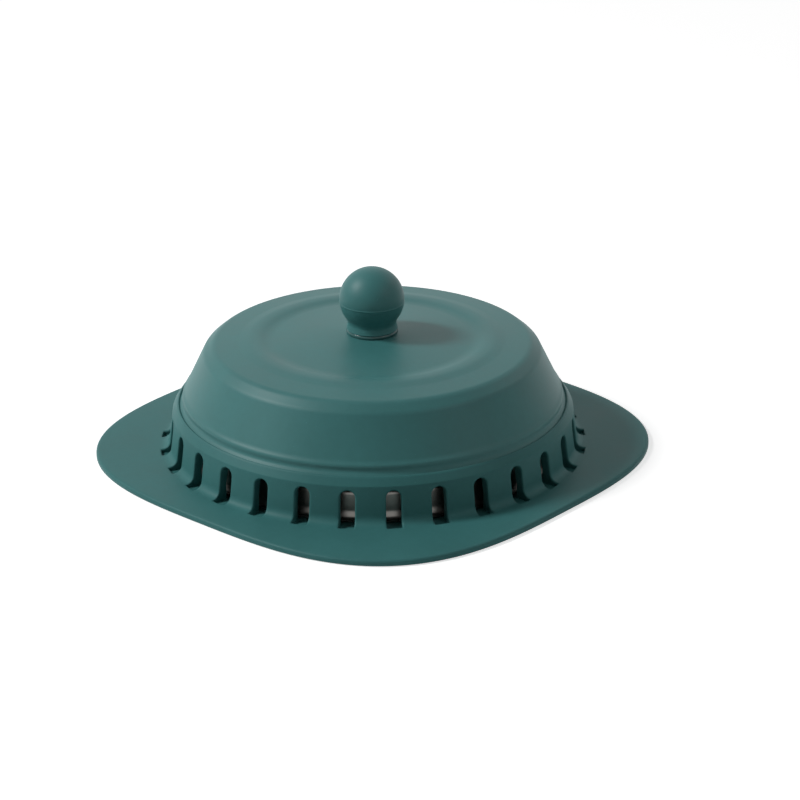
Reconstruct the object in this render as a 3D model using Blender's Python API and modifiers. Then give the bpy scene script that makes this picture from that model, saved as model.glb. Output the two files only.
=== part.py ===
"""Drain stopper: a square mat with a slotted collar, a lift-off dome and a bell valve on a ball knob.

The mat stands on Z = 0 with the drain's axis on Z. Every turned piece is drawn as (radius, height) points in
its own frame and set at its height by its location. Sizes are in metres.
"""

import math

import bmesh
import bpy

# Clearances
REST_GAP = 0.0003
FIT_GAP = 0.0003
SLIDE_GAP = 0.0002
CUT_OVERRUN = 0.0020

# Square mat
MAT_MARGIN = 0.0124
MAT_EDGE_THICKNESS = 0.0018
MAT_FOOT_THICKNESS = 0.00245
MAT_EDGE_ROUND = 0.0008
MAT_WEB = 0.0006
MAT_SQUARENESS = 3.1
MAT_COLUMNS = 84

# Slotted collar, one piece with the mat
COLLAR_HEIGHT = 0.0137
COLLAR_WALL = 0.00305
COLLAR_FLARE = 0.0015
COLLAR_BAND_HEIGHT = 0.00255
COLLAR_RIM_GAP = 0.0004
COLLAR_RIM_WIDTH = 0.0006
COLLAR_RIM_ROUND = 0.0003
COLLAR_REBATE = 0.0015
COLLAR_LEDGE_DEPTH = 0.0031
COLLAR_UNDERCUT = 0.0017
COLLAR_UNDERCUT_HEIGHT = 0.0036
COLLAR_FOOT_ROUND = 0.0046
COLLAR_SKIRT = 0.0092
COLLAR_SKIRT_DIP = 0.0006
COLLAR_ROOT = 0.0012
SLOT_COUNT = 29
SLOT_FIRST_TURN = math.radians(6.97)
SLOT_WIDTH = 0.00445
SLOT_HEIGHT = 0.00985
SLOT_DROP = 0.00125
SLOT_REACH = 0.0024

# Dome cap
CAP_SPIGOT_RADIUS = 0.05755
CAP_SPIGOT_DEPTH = 0.00065
CAP_WALL = 0.0024
CAP_FOOT_OVERHANG = 0.00095
CAP_FOOT_THICKNESS = 0.0006
CAP_WAIST_STEP = 0.0004
CAP_LIP_OVERHANG = 0.00045
CAP_LIP_HEIGHT = 0.00365
CAP_LIP_TOP = 0.00465
CAP_LIP_STEP = 0.0009
CAP_SHOULDER_RADIUS = 0.0511
CAP_SHOULDER_HEIGHT = 0.01705
CAP_BAND_WIDTH = 0.0030
CAP_BAND_RISE = 0.0025
CAP_RING_RADIUS = 0.0358
CAP_RING_CREST = 0.0024
CAP_RING_FLANK = 0.0034
CAP_RING_RISE = 0.0006
CAP_RING_HEIGHT = 0.02095
CAP_CROWN_HEIGHT = 0.02262
CAP_BAND_ROUND = 0.0020
CAP_SHOULDER_ROUND = 0.0030

# Guide bush with its washer, nut and O-ring
BUSH_RIM_WIDTH = 0.0019
BUSH_RIM_HEIGHT = 0.0007
BUSH_RIM_ROUND = 0.0004
BUSH_WALL = 0.0030
BUSH_TAIL = 0.0001
BUSH_WASHER_WIDTH = 0.0045
BUSH_WASHER_THICKNESS = 0.0008
BUSH_NUT_FLATS = 0.0170
BUSH_NUT_THICKNESS = 0.0030
ORING_THICKNESS = 0.0016
ORING_DEPTH = 0.0026

# Stem and its stack of fasteners
STEM_RADIUS = 0.0025
STEM_TIP_CHAMFER = 0.0004
STEM_ENGAGEMENT = 0.0082
BOLT_HEAD_RADIUS = 0.0042
BOLT_HEAD_HEIGHT = 0.0035
BOLT_HEAD_CHAMFER = 0.0006
BOLT_SOCKET_FLATS = 0.0040
BOLT_SOCKET_DEPTH = 0.0020
HEAD_WASHER_RADIUS = 0.0065
HEAD_WASHER_THICKNESS = 0.0008
SEAL_WASHER_RADIUS = 0.0070
SEAL_WASHER_THICKNESS = 0.0010
NUT_FLATS = 0.0080
NUT_THICKNESS = 0.0027

# Bell and its gasket
BELL_LIFT = 0.0040
BELL_GUIDE_GAP = 0.00025
BELL_SHEET = 0.0006
BELL_LEAN = 0.0003
BELL_SHOULDER_ROUND = 0.0015
BELL_FLARE_REACH = 0.0018
BELL_FLARE_HEIGHT = 0.0026
GASKET_WIDTH = 0.0060
GASKET_THICKNESS = 0.0030
GASKET_CHAMFER = 0.0006

# Strainer plate and the throat under it
THROAT_MARGIN = 0.0053
STRAINER_EDGE = 0.0007
STRAINER_THICKNESS = 0.0006
STRAINER_RIB_DEPTH = 0.0006
STRAINER_RIB_WIDTH = 0.0006
STRAINER_HOLE_RADIUS = 0.0022
STRAINER_HOLE_MARGIN = 0.0020
STRAINER_RING_PITCH = 0.0090
STRAINER_FIRST_RING = 0.0110
STRAINER_HOLE_PITCH = 0.0120

# Ball knob and its insert
KNOB_BALL_RADIUS = 0.0098
KNOB_NECK_RADIUS = 0.00727
KNOB_NECK_HEIGHT = 0.0025
KNOB_FOOT_CHAMFER = 0.0003
INSERT_RADIUS = 0.0040
INSERT_LENGTH = 0.0102
INSERT_GROOVE_DEPTH = 0.0006
INSERT_GROOVE_SHARES = (0.20, 0.36, 0.56, 0.72)

# How finely round pieces are divided
LARGE_STEPS = 58
MIDDLE_STEPS = 48
KNOB_STEPS = 32
SMALL_STEPS = 24
ORING_STEPS = 8
HOLE_STEPS = 6
BALL_STEPS = 12
ARCH_STEPS = 6
FLARE_STEPS = 4
FILLET_STEPS = 2
BELL_FILLET_STEPS = 3
COLLAR_FILLET_STEPS = 4
HEXAGON_SIDES = 6
MERGE_DISTANCE = 0.00001

# Colours, as linear RGB
TEAL = (0.040, 0.125, 0.122, 1.0)
DARK_TEAL = (0.030, 0.095, 0.093, 1.0)
STEEL = (0.62, 0.62, 0.60, 1.0)
BLACK = (0.020, 0.020, 0.021, 1.0)
BRASS = (0.60, 0.43, 0.18, 1.0)

# Radii that follow from what fits in what
COLLAR_BORE = CAP_SPIGOT_RADIUS + FIT_GAP
BELL_RIM_RADIUS = COLLAR_BORE - BELL_GUIDE_GAP
BELL_WALL_RADIUS = BELL_RIM_RADIUS - BELL_FLARE_REACH
COLLAR_INSIDE = COLLAR_BORE + COLLAR_UNDERCUT
COLLAR_FOOT_RADIUS = COLLAR_INSIDE + COLLAR_WALL
COLLAR_CREASE_RADIUS = COLLAR_FOOT_RADIUS - COLLAR_FLARE
CAP_LIP_RADIUS = CAP_SPIGOT_RADIUS + CAP_LIP_OVERHANG
CAP_FOOT_RADIUS = CAP_SPIGOT_RADIUS + CAP_FOOT_OVERHANG
MAT_HALF_SIDE = COLLAR_FOOT_RADIUS + MAT_MARGIN
CAP_BORE = CAP_SPIGOT_RADIUS - CAP_WALL
BUSH_BORE = STEM_RADIUS + SLIDE_GAP
BUSH_RADIUS = BUSH_BORE + BUSH_WALL
CROWN_HOLE = BUSH_RADIUS + FIT_GAP
GASKET_RADIUS = BELL_WALL_RADIUS - BELL_SHEET - REST_GAP
GASKET_BORE = GASKET_RADIUS - GASKET_WIDTH
THROAT_RADIUS = GASKET_BORE - THROAT_MARGIN
STRAINER_RADIUS = GASKET_RADIUS - STRAINER_EDGE
FASTENER_BORE = STEM_RADIUS + FIT_GAP
ORING_CENTRE = STEM_RADIUS + FIT_GAP + ORING_THICKNESS / 2

# Heights, from the floor up
STRAINER_BOTTOM = MAT_WEB + REST_GAP
GASKET_BOTTOM = STRAINER_BOTTOM + STRAINER_THICKNESS + REST_GAP
BELL_BOTTOM = STRAINER_BOTTOM
COLLAR_TOP = MAT_FOOT_THICKNESS + COLLAR_HEIGHT
CAP_SEAT = COLLAR_TOP - COLLAR_REBATE + REST_GAP
CROWN_TOP = CAP_SEAT + CAP_CROWN_HEIGHT
BELL_TOP = CAP_SEAT - CAP_SPIGOT_DEPTH - REST_GAP - BELL_LIFT
BELL_HEIGHT = BELL_TOP - BELL_BOTTOM
SEAL_WASHER_BOTTOM = BELL_TOP + REST_GAP
CLAMP_NUT_BOTTOM = SEAL_WASHER_BOTTOM + SEAL_WASHER_THICKNESS + REST_GAP
HEAD_WASHER_TOP = BELL_TOP - BELL_SHEET - REST_GAP
BOLT_SEAT = HEAD_WASHER_TOP - HEAD_WASHER_THICKNESS - REST_GAP
BUSH_SEAT = CROWN_TOP + REST_GAP
BUSH_WASHER_TOP = CROWN_TOP - CAP_WALL - REST_GAP
BUSH_NUT_TOP = BUSH_WASHER_TOP - BUSH_WASHER_THICKNESS - REST_GAP
BUSH_END = BUSH_NUT_TOP - BUSH_NUT_THICKNESS - BUSH_TAIL
STOP_NUT_BOTTOM = BUSH_END - REST_GAP - BELL_LIFT - NUT_THICKNESS
KNOB_BOTTOM = BUSH_SEAT + BUSH_RIM_HEIGHT + REST_GAP
INSERT_BOTTOM = KNOB_BOTTOM + REST_GAP
STEM_TOP = INSERT_BOTTOM + STEM_ENGAGEMENT

GROUPS = {}


def start_scene():
    """Empty the scene and make one collection for the pieces and one for their cutters."""
    for obj in list(bpy.data.objects):
        bpy.data.objects.remove(obj, do_unlink=True)
    for title in ("drain_stopper", "cutters"):
        group = bpy.data.collections.new(title)
        bpy.context.scene.collection.children.link(group)
        GROUPS[title] = group
    GROUPS["cutters"].hide_render = True


def principled(title, colour, roughness, metallic):
    """A material with one Principled BSDF."""
    made = bpy.data.materials.new(title)
    made.use_nodes = True
    shader = made.node_tree.nodes["Principled BSDF"]
    shader.inputs["Base Color"].default_value = colour
    shader.inputs["Roughness"].default_value = roughness
    shader.inputs["Metallic"].default_value = metallic
    made.diffuse_color = colour
    return made


def slide_axis(title, height, parent=None):
    """An empty on the drain's axis that carries the pieces of one sliding body."""
    axis = bpy.data.objects.new(title, None)
    axis.parent = parent
    axis.location.z = height - (parent.location.z if parent else 0)
    GROUPS["drain_stopper"].objects.link(axis)
    return axis


def place(obj, carrier, height, finish):
    """Put a piece on its carrier at a height above the floor and give it its material."""
    below = 0
    above = carrier
    while above:
        below += above.location.z
        above = above.parent
    obj.parent = carrier
    obj.location.z = height - below
    obj.data.materials.append(finish)


def add_object(title, data, group="drain_stopper"):
    """A new object in a collection; a cutter is drawn as wire and not rendered."""
    obj = bpy.data.objects.new(title, data)
    GROUPS[group].objects.link(obj)
    if group == "cutters":
        obj.hide_render = True
        obj.display_type = "WIRE"
    return obj


def rounded(corners, steps=FILLET_STEPS):
    """A polyline's points, with each (radius, height, fillet) corner rounded by its fillet."""
    made = []
    for i, (x, z, fillet) in enumerate(corners):
        if not fillet:
            made.append((x, z))
            continue
        before = corners[i - 1]
        after = corners[(i + 1) % len(corners)]
        back = (before[0] - x, before[1] - z)
        on = (after[0] - x, after[1] - z)
        back_length = math.hypot(*back)
        on_length = math.hypot(*on)
        turn = math.acos((back[0] * on[0] + back[1] * on[1]) / (back_length * on_length))
        reach = min(fillet / math.tan(turn / 2), back_length / 2, on_length / 2)
        start = (x + back[0] * reach / back_length, z + back[1] * reach / back_length)
        end = (x + on[0] * reach / on_length, z + on[1] * reach / on_length)
        for k in range(steps + 1):
            t = k / steps
            bend = 2 * t * (1 - t)
            made.append(
                tuple((1 - t) ** 2 * a + bend * b + t**2 * c for a, b, c in zip(start, (x, z), end))
            )
    return made


def turned(title, outline, steps, ring=True, group="drain_stopper"):
    """Turn (radius, height) points round Z; a ring's outline is closed, another one ends on the axis."""
    mesh = bpy.data.meshes.new(title)
    count = len(outline)
    edges = [(i, (i + 1) % count) for i in range(count if ring else count - 1)]
    mesh.from_pydata([(r, 0, z) for r, z in outline], edges, [])
    obj = add_object(title, mesh, group)
    screw = obj.modifiers.new("turn", "SCREW")
    screw.steps = steps
    screw.render_steps = steps
    screw.use_merge_vertices = not ring
    screw.merge_threshold = MERGE_DISTANCE
    screw.use_smooth_shade = True
    return obj


def turned_mesh(title, outline, steps, ring=True):
    """The same, with the turning applied and the faces turned outwards."""
    obj = turned(title, outline, steps, ring)
    solid = bpy.data.meshes.new_from_object(obj.evaluated_get(bpy.context.evaluated_depsgraph_get()))
    obj.modifiers.clear()
    obj.data = solid
    with_outward_faces(solid)
    return obj


def with_outward_faces(mesh):
    """Point a closed mesh's faces outwards."""
    work = bmesh.new()
    work.from_mesh(mesh)
    bmesh.ops.recalc_face_normals(work, faces=work.faces)
    work.to_mesh(mesh)
    work.free()


def cut(obj, cutter, operation="DIFFERENCE"):
    """Add a Boolean modifier that takes a cutter away from a piece, or joins it on."""
    step = obj.modifiers.new(operation.lower(), "BOOLEAN")
    step.operation = operation
    step.object = cutter
    step.solver = "EXACT"


def prisms(title, outline, places, depth):
    """A cutter of equal prisms: each is an outline of (across, up) points pushed out along its own way.

    Every place is (origin, across, up, along), four vectors.
    """
    work = bmesh.new()
    for origin, across, up, along in places:
        near = [
            work.verts.new([o + a * x + u * y for o, a, u in zip(origin, across, up)]) for x, y in outline
        ]
        face = work.faces.new(near)
        pushed = bmesh.ops.extrude_face_region(work, geom=[face])
        moved = [v for v in pushed["geom"] if isinstance(v, bmesh.types.BMVert)]
        bmesh.ops.translate(work, verts=moved, vec=[w * depth for w in along])
    bmesh.ops.recalc_face_normals(work, faces=work.faces)
    mesh = bpy.data.meshes.new(title)
    work.to_mesh(mesh)
    work.free()
    return add_object(title, mesh, "cutters")


def flat_piece(title, splines, thickness):
    """A flat piece from closed outlines of (x, y) points, standing on its own zero height."""
    curve = bpy.data.curves.new(title, "CURVE")
    curve.dimensions = "2D"
    curve.fill_mode = "BOTH"
    curve.extrude = thickness / 2
    for outline in splines:
        spline = curve.splines.new("POLY")
        spline.points.add(len(outline) - 1)
        for point, (x, y) in zip(spline.points, outline):
            point.co = (x, y, 0, 1)
        spline.use_cyclic_u = True
    flat = add_object(title + "_outline", curve)
    flat.location.z = thickness / 2
    bpy.context.view_layer.update()
    mesh = bpy.data.meshes.new_from_object(flat.evaluated_get(bpy.context.evaluated_depsgraph_get()))
    mesh.transform(flat.matrix_world)
    bpy.data.objects.remove(flat)
    work = bmesh.new()
    work.from_mesh(mesh)
    bmesh.ops.remove_doubles(work, verts=work.verts, dist=MERGE_DISTANCE)
    bmesh.ops.recalc_face_normals(work, faces=work.faces)
    work.to_mesh(mesh)
    work.free()
    return add_object(title, mesh)


def regular(radius, sides):
    """The corners of a regular polygon about the axis."""
    turns = [2 * math.pi * k / sides for k in range(sides)]
    return [(radius * math.cos(turn), radius * math.sin(turn)) for turn in turns]


def corner_radius(flats):
    """The corner radius of a hexagon, from its size across flats."""
    return flats / 2 / math.cos(math.pi / 6)


def hex_nut(title, flats, bore, thickness):
    """A hexagon nut with a plain bore."""
    hexagon = regular(corner_radius(flats), HEXAGON_SIDES)
    return flat_piece(title, [hexagon, regular(bore, SMALL_STEPS)], thickness)


def washer(title, radius, bore, thickness):
    """A flat washer, standing on its own zero height."""
    outline = [(radius, thickness), (radius, 0), (bore, 0), (bore, thickness)]
    return turned(title, outline, SMALL_STEPS)


def mat_radius(angle, half_side):
    """Distance from the axis to the edge of the round-cornered square, in one direction."""
    spread = abs(math.cos(angle)) ** MAT_SQUARENESS + abs(math.sin(angle)) ** MAT_SQUARENESS
    return half_side / spread ** (1 / MAT_SQUARENESS)


def mat_sections():
    """The mat's closed section: (circle radius, distance inside the square edge, height).

    One of the first two is None: a point follows either a circle or the square edge.
    """
    rounding = MAT_EDGE_ROUND
    slant = math.sqrt(0.5)
    top = MAT_EDGE_THICKNESS
    return [
        (THROAT_RADIUS, None, 0),
        (THROAT_RADIUS, None, MAT_WEB),
        (COLLAR_INSIDE, None, MAT_WEB),
        (COLLAR_INSIDE, None, MAT_FOOT_THICKNESS),
        (COLLAR_FOOT_RADIUS, None, MAT_FOOT_THICKNESS),
        (None, rounding, top),
        (None, rounding * (1 - slant), top - rounding * (1 - slant)),
        (None, 0, top - rounding),
        (None, 0, 0),
    ]


def mat_body():
    """The mat alone: a loft from the round throat and collar foot to the square edge."""
    work = bmesh.new()
    sections = mat_sections()
    turns = [2 * math.pi * k / MAT_COLUMNS for k in range(MAT_COLUMNS)]
    columns = []
    for turn in turns:
        column = []
        for circle, inset, height in sections:
            reach = circle if inset is None else mat_radius(turn, MAT_HALF_SIDE - inset)
            column.append(work.verts.new((reach * math.cos(turn), reach * math.sin(turn), height)))
        columns.append(column)
    for here, there in zip(columns, columns[1:] + columns[:1]):
        for i, j in zip(range(len(sections)), [*range(1, len(sections)), 0]):
            work.faces.new((here[i], there[i], there[j], here[j]))
    bmesh.ops.recalc_face_normals(work, faces=work.faces)
    mesh = bpy.data.meshes.new("base_mat")
    work.to_mesh(mesh)
    work.free()
    return add_object("base_mat", mesh)


def collar_outline():
    """The collar's section above the mat's foot: rebate and rim, then down the outside and up the inside."""
    top = COLLAR_HEIGHT
    seat = top - COLLAR_REBATE
    rim = CAP_FOOT_RADIUS + COLLAR_RIM_GAP
    crease = COLLAR_CREASE_RADIUS
    foot = COLLAR_FOOT_RADIUS
    reach = foot + COLLAR_SKIRT
    ledge = top - COLLAR_LEDGE_DEPTH
    return rounded(
        [
            (COLLAR_BORE, seat, 0),
            (rim, seat, 0),
            (rim, top, 0),
            (rim + COLLAR_RIM_WIDTH, top, COLLAR_RIM_ROUND),
            (crease, top - COLLAR_BAND_HEIGHT, 0),
            (foot, 0, COLLAR_FOOT_ROUND),
            (reach, -COLLAR_SKIRT_DIP, 0),
            (reach, -COLLAR_ROOT, 0),
            (COLLAR_INSIDE, -COLLAR_ROOT, 0),
            (COLLAR_INSIDE, COLLAR_UNDERCUT_HEIGHT, 0),
            (COLLAR_BORE, ledge, 0),
        ],
        steps=COLLAR_FILLET_STEPS,
    )


def slot_cutter():
    """One prism for each slot, arched at the top, its floor let into the mat so that water runs inwards."""
    half = SLOT_WIDTH / 2
    spring = SLOT_HEIGHT + SLOT_DROP - half
    arch = [math.pi * k / ARCH_STEPS for k in range(ARCH_STEPS + 1)]
    outline = [(half, 0)]
    outline += [(half * math.cos(turn), spring + half * math.sin(turn)) for turn in arch]
    outline += [(-half, 0)]
    start = COLLAR_BORE - CUT_OVERRUN
    depth = COLLAR_FOOT_RADIUS + SLOT_REACH - start
    places = []
    for k in range(SLOT_COUNT):
        turn = SLOT_FIRST_TURN + 2 * math.pi * k / SLOT_COUNT
        out = (math.cos(turn), math.sin(turn), 0)
        across = (-math.sin(turn), math.cos(turn), 0)
        origin = (start * out[0], start * out[1], MAT_FOOT_THICKNESS - SLOT_DROP)
        places.append((origin, across, (0, 0, 1), out))
    return prisms("slot_cutter", outline, places, depth)


def build_base_mat(silicone):
    """The mat and its slotted collar as one moulding."""
    mat = mat_body()
    collar = turned_mesh("collar", collar_outline(), LARGE_STEPS)
    collar.location.z = MAT_FOOT_THICKNESS
    collar.hide_render = True
    collar.display_type = "WIRE"
    GROUPS["drain_stopper"].objects.unlink(collar)
    GROUPS["cutters"].objects.link(collar)
    cut(mat, collar, "UNION")
    cut(mat, slot_cutter())
    place(mat, None, 0, silicone)


def strainer_holes():
    """Rings of holes within the throat, evenly spaced round each ring."""
    edge = THROAT_RADIUS - STRAINER_HOLE_RADIUS - STRAINER_HOLE_MARGIN
    outline = regular(STRAINER_HOLE_RADIUS, HOLE_STEPS)
    places = []
    ring = STRAINER_FIRST_RING
    while ring <= edge:
        count = math.floor(2 * math.pi * ring / STRAINER_HOLE_PITCH)
        for x, y in regular(ring, count):
            out = (x / ring, y / ring, 0)
            across = (-out[1], out[0], 0)
            places.append(((x, y, -CUT_OVERRUN), out, across, (0, 0, 1)))
        ring += STRAINER_RING_PITCH
    return prisms("strainer_holes", outline, places, STRAINER_THICKNESS + 2 * CUT_OVERRUN)


def build_strainer_plate(steel):
    """The perforated disc on the mat's web, with a rib underneath that centres it in the throat."""
    rib = THROAT_RADIUS - FIT_GAP
    outline = [
        (0, STRAINER_THICKNESS),
        (STRAINER_RADIUS, STRAINER_THICKNESS),
        (STRAINER_RADIUS, 0),
        (rib, 0),
        (rib, -STRAINER_RIB_DEPTH),
        (rib - STRAINER_RIB_WIDTH, -STRAINER_RIB_DEPTH),
        (rib - STRAINER_RIB_WIDTH, 0),
        (0, 0),
    ]
    plate = turned_mesh("strainer_plate", outline, MIDDLE_STEPS, ring=False)
    holes = strainer_holes()
    holes.location.z = STRAINER_BOTTOM
    cut(plate, holes)
    place(plate, None, STRAINER_BOTTOM, steel)


def cap_outline():
    """The dome cap's section above its seat: crown, ring, shoulder, cone, lip, spigot and the inside."""
    lip = CAP_LIP_RADIUS
    band = CAP_SHOULDER_RADIUS - CAP_BAND_WIDTH
    band_height = CAP_SHOULDER_HEIGHT + CAP_BAND_RISE
    crest = CAP_RING_HEIGHT
    side = crest - CAP_RING_RISE
    half = CAP_RING_CREST / 2
    inner = CAP_RING_RADIUS - half
    outer = CAP_RING_RADIUS + half
    return rounded(
        [
            (CROWN_HOLE, CAP_CROWN_HEIGHT, 0),
            (inner - CAP_RING_FLANK, side, 0),
            (inner, crest, 0),
            (outer, crest, 0),
            (outer + CAP_RING_FLANK, side, 0),
            (band, band_height, CAP_BAND_ROUND),
            (CAP_SHOULDER_RADIUS, CAP_SHOULDER_HEIGHT, CAP_SHOULDER_ROUND),
            (lip - CAP_LIP_STEP, CAP_LIP_TOP, 0),
            (lip, CAP_LIP_HEIGHT, 0),
            (lip - CAP_WAIST_STEP, CAP_FOOT_THICKNESS, 0),
            (CAP_FOOT_RADIUS, CAP_FOOT_THICKNESS, 0),
            (CAP_FOOT_RADIUS, 0, 0),
            (CAP_SPIGOT_RADIUS, 0, 0),
            (CAP_SPIGOT_RADIUS, -CAP_SPIGOT_DEPTH, 0),
            (CAP_BORE, -CAP_SPIGOT_DEPTH, 0),
            (CAP_BORE, CAP_LIP_TOP, 0),
            (CAP_SHOULDER_RADIUS - CAP_WALL, CAP_SHOULDER_HEIGHT - CAP_WALL / 2, 0),
            (band - CAP_WALL / 2, band_height - CAP_WALL, 0),
            (CAP_RING_RADIUS, side - CAP_WALL, 0),
            (CROWN_HOLE + BUSH_WASHER_WIDTH, CAP_CROWN_HEIGHT - CAP_WALL, 0),
            (CROWN_HOLE, CAP_CROWN_HEIGHT - CAP_WALL, 0),
        ]
    )


def build_dome_cap(carrier, silicone):
    """The lift-off silicone dome."""
    place(turned("dome_cap", cap_outline(), LARGE_STEPS), carrier, CAP_SEAT, silicone)


def bush_outline():
    """The bush's section: rim above the crown, tube through it, and the O-ring's groove in the bore."""
    rim = BUSH_RADIUS + BUSH_RIM_WIDTH
    groove = ORING_CENTRE + ORING_THICKNESS / 2 + FIT_GAP
    half = ORING_THICKNESS / 2 + FIT_GAP
    return [
        (BUSH_BORE, BUSH_RIM_HEIGHT),
        (rim - BUSH_RIM_ROUND, BUSH_RIM_HEIGHT),
        (rim, BUSH_RIM_HEIGHT - BUSH_RIM_ROUND),
        (rim, 0),
        (BUSH_RADIUS, 0),
        (BUSH_RADIUS, BUSH_END - BUSH_SEAT),
        (BUSH_BORE, BUSH_END - BUSH_SEAT),
        (BUSH_BORE, -ORING_DEPTH - half),
        (groove, -ORING_DEPTH - half),
        (groove, -ORING_DEPTH + half),
        (BUSH_BORE, -ORING_DEPTH + half),
    ]


def build_bush_group(carrier, plastic, steel, rubber):
    """The guide bush, what clamps it in the crown and the ring that grips the stem."""
    place(turned("guide_bush", bush_outline(), SMALL_STEPS), carrier, BUSH_SEAT, plastic)
    bore = BUSH_RADIUS + FIT_GAP
    ring = washer("bush_washer", bore + BUSH_WASHER_WIDTH, bore, BUSH_WASHER_THICKNESS)
    place(ring, carrier, BUSH_WASHER_TOP - BUSH_WASHER_THICKNESS, steel)
    nut = hex_nut("bush_nut", BUSH_NUT_FLATS, bore, BUSH_NUT_THICKNESS)
    place(nut, carrier, BUSH_NUT_TOP - BUSH_NUT_THICKNESS, plastic)
    half = ORING_THICKNESS / 2
    section = [(ORING_CENTRE + x, -y) for x, y in regular(half, ORING_STEPS)]
    place(turned("stem_oring", section, SMALL_STEPS), carrier, BUSH_SEAT - ORING_DEPTH, rubber)


def bell_flare(reach, drop):
    """The quarter of an ellipse by which the bell's skirt turns out to its rim, from the skirt downwards."""
    turns = [math.pi / 2 * k / FLARE_STEPS for k in range(FLARE_STEPS + 1)]
    high = BELL_SHEET + BELL_FLARE_HEIGHT
    return [(BELL_RIM_RADIUS - reach * math.cos(turn), high - drop * math.sin(turn), 0) for turn in turns]


def bell_outline():
    """The bell's section above its rim: a shallow pressed cup whose skirt turns out into a flared rim."""
    top = BELL_WALL_RADIUS - BELL_LEAN
    inner_flare = bell_flare(BELL_FLARE_REACH + BELL_SHEET, BELL_FLARE_HEIGHT + BELL_SHEET)
    return rounded(
        [
            (FASTENER_BORE, BELL_HEIGHT, 0),
            (top, BELL_HEIGHT, BELL_SHOULDER_ROUND),
            *bell_flare(BELL_FLARE_REACH, BELL_FLARE_HEIGHT),
            *inner_flare[::-1],
            (top - BELL_SHEET, BELL_HEIGHT - BELL_SHEET, BELL_SHOULDER_ROUND - BELL_SHEET),
            (FASTENER_BORE, BELL_HEIGHT - BELL_SHEET, 0),
        ],
        steps=BELL_FILLET_STEPS,
    )


def gasket_outline():
    """The gasket's section above its underside, with a chamfered sealing edge on each side."""
    edge = GASKET_CHAMFER
    return [
        (GASKET_RADIUS, GASKET_THICKNESS),
        (GASKET_RADIUS, edge),
        (GASKET_RADIUS - edge, 0),
        (GASKET_BORE + edge, 0),
        (GASKET_BORE, edge),
        (GASKET_BORE, GASKET_THICKNESS),
    ]


def build_bell_group(carrier, steel, rubber):
    """The bell, its gasket, what clamps it on the bolt and the nut that stops its lift."""
    place(turned("bell", bell_outline(), MIDDLE_STEPS), carrier, BELL_BOTTOM, steel)
    place(turned("bell_gasket", gasket_outline(), MIDDLE_STEPS), carrier, GASKET_BOTTOM, rubber)
    seal = washer("seal_washer", SEAL_WASHER_RADIUS, FASTENER_BORE, SEAL_WASHER_THICKNESS)
    place(seal, carrier, SEAL_WASHER_BOTTOM, rubber)
    under = washer("head_washer", HEAD_WASHER_RADIUS, FASTENER_BORE, HEAD_WASHER_THICKNESS)
    place(under, carrier, HEAD_WASHER_TOP - HEAD_WASHER_THICKNESS, steel)
    clamp = hex_nut("clamp_nut", NUT_FLATS, FASTENER_BORE, NUT_THICKNESS)
    place(clamp, carrier, CLAMP_NUT_BOTTOM, steel)
    stop = hex_nut("stop_nut", NUT_FLATS, FASTENER_BORE, NUT_THICKNESS)
    place(stop, carrier, STOP_NUT_BOTTOM, steel)


def build_stem_bolt(carrier, steel):
    """The long bolt, head down, with a hexagon socket in its head."""
    length = STEM_TOP - BOLT_SEAT
    outline = [
        (0, length),
        (STEM_RADIUS - STEM_TIP_CHAMFER, length),
        (STEM_RADIUS, length - STEM_TIP_CHAMFER),
        (STEM_RADIUS, 0),
        (BOLT_HEAD_RADIUS, 0),
        (BOLT_HEAD_RADIUS, BOLT_HEAD_CHAMFER - BOLT_HEAD_HEIGHT),
        (BOLT_HEAD_RADIUS - BOLT_HEAD_CHAMFER, -BOLT_HEAD_HEIGHT),
        (0, -BOLT_HEAD_HEIGHT),
    ]
    bolt = turned_mesh("stem_bolt", outline, SMALL_STEPS, ring=False)
    outline = regular(corner_radius(BOLT_SOCKET_FLATS), HEXAGON_SIDES)
    mouth = BOLT_SEAT - BOLT_HEAD_HEIGHT - CUT_OVERRUN
    places = [((0, 0, mouth), (1, 0, 0), (0, 1, 0), (0, 0, 1))]
    cut(bolt, prisms("socket_cutter", outline, places, BOLT_SOCKET_DEPTH + CUT_OVERRUN))
    place(bolt, carrier, BOLT_SEAT, steel)


def knob_outline():
    """The knob's section above its foot: ball, neck and the blind pocket for its insert."""
    neck = KNOB_NECK_RADIUS
    centre = KNOB_NECK_HEIGHT + math.sqrt(KNOB_BALL_RADIUS**2 - neck**2)
    last = math.pi - math.asin(neck / KNOB_BALL_RADIUS)
    turns = [last * k / BALL_STEPS for k in range(1, BALL_STEPS + 1)]
    ball = [(KNOB_BALL_RADIUS * math.sin(turn), centre + KNOB_BALL_RADIUS * math.cos(turn)) for turn in turns]
    pocket = INSERT_RADIUS + FIT_GAP
    ceiling = INSERT_BOTTOM - KNOB_BOTTOM + INSERT_LENGTH + FIT_GAP
    return [
        (0, centre + KNOB_BALL_RADIUS),
        *ball,
        (neck, KNOB_FOOT_CHAMFER),
        (neck - KNOB_FOOT_CHAMFER, 0),
        (pocket, 0),
        (pocket, ceiling),
        (0, ceiling),
    ]


def insert_outline():
    """The insert's section above its foot: a blind barrel with two grooves that key the silicone."""
    low, low_end, high, high_end = [share * INSERT_LENGTH for share in INSERT_GROOVE_SHARES]
    groove = INSERT_RADIUS - INSERT_GROOVE_DEPTH
    ceiling = STEM_ENGAGEMENT + FIT_GAP
    return [
        (0, INSERT_LENGTH),
        (INSERT_RADIUS, INSERT_LENGTH),
        (INSERT_RADIUS, high_end),
        (groove, high_end),
        (groove, high),
        (INSERT_RADIUS, high),
        (INSERT_RADIUS, low_end),
        (groove, low_end),
        (groove, low),
        (INSERT_RADIUS, low),
        (INSERT_RADIUS, 0),
        (FASTENER_BORE, 0),
        (FASTENER_BORE, ceiling),
        (0, ceiling),
    ]


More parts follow.
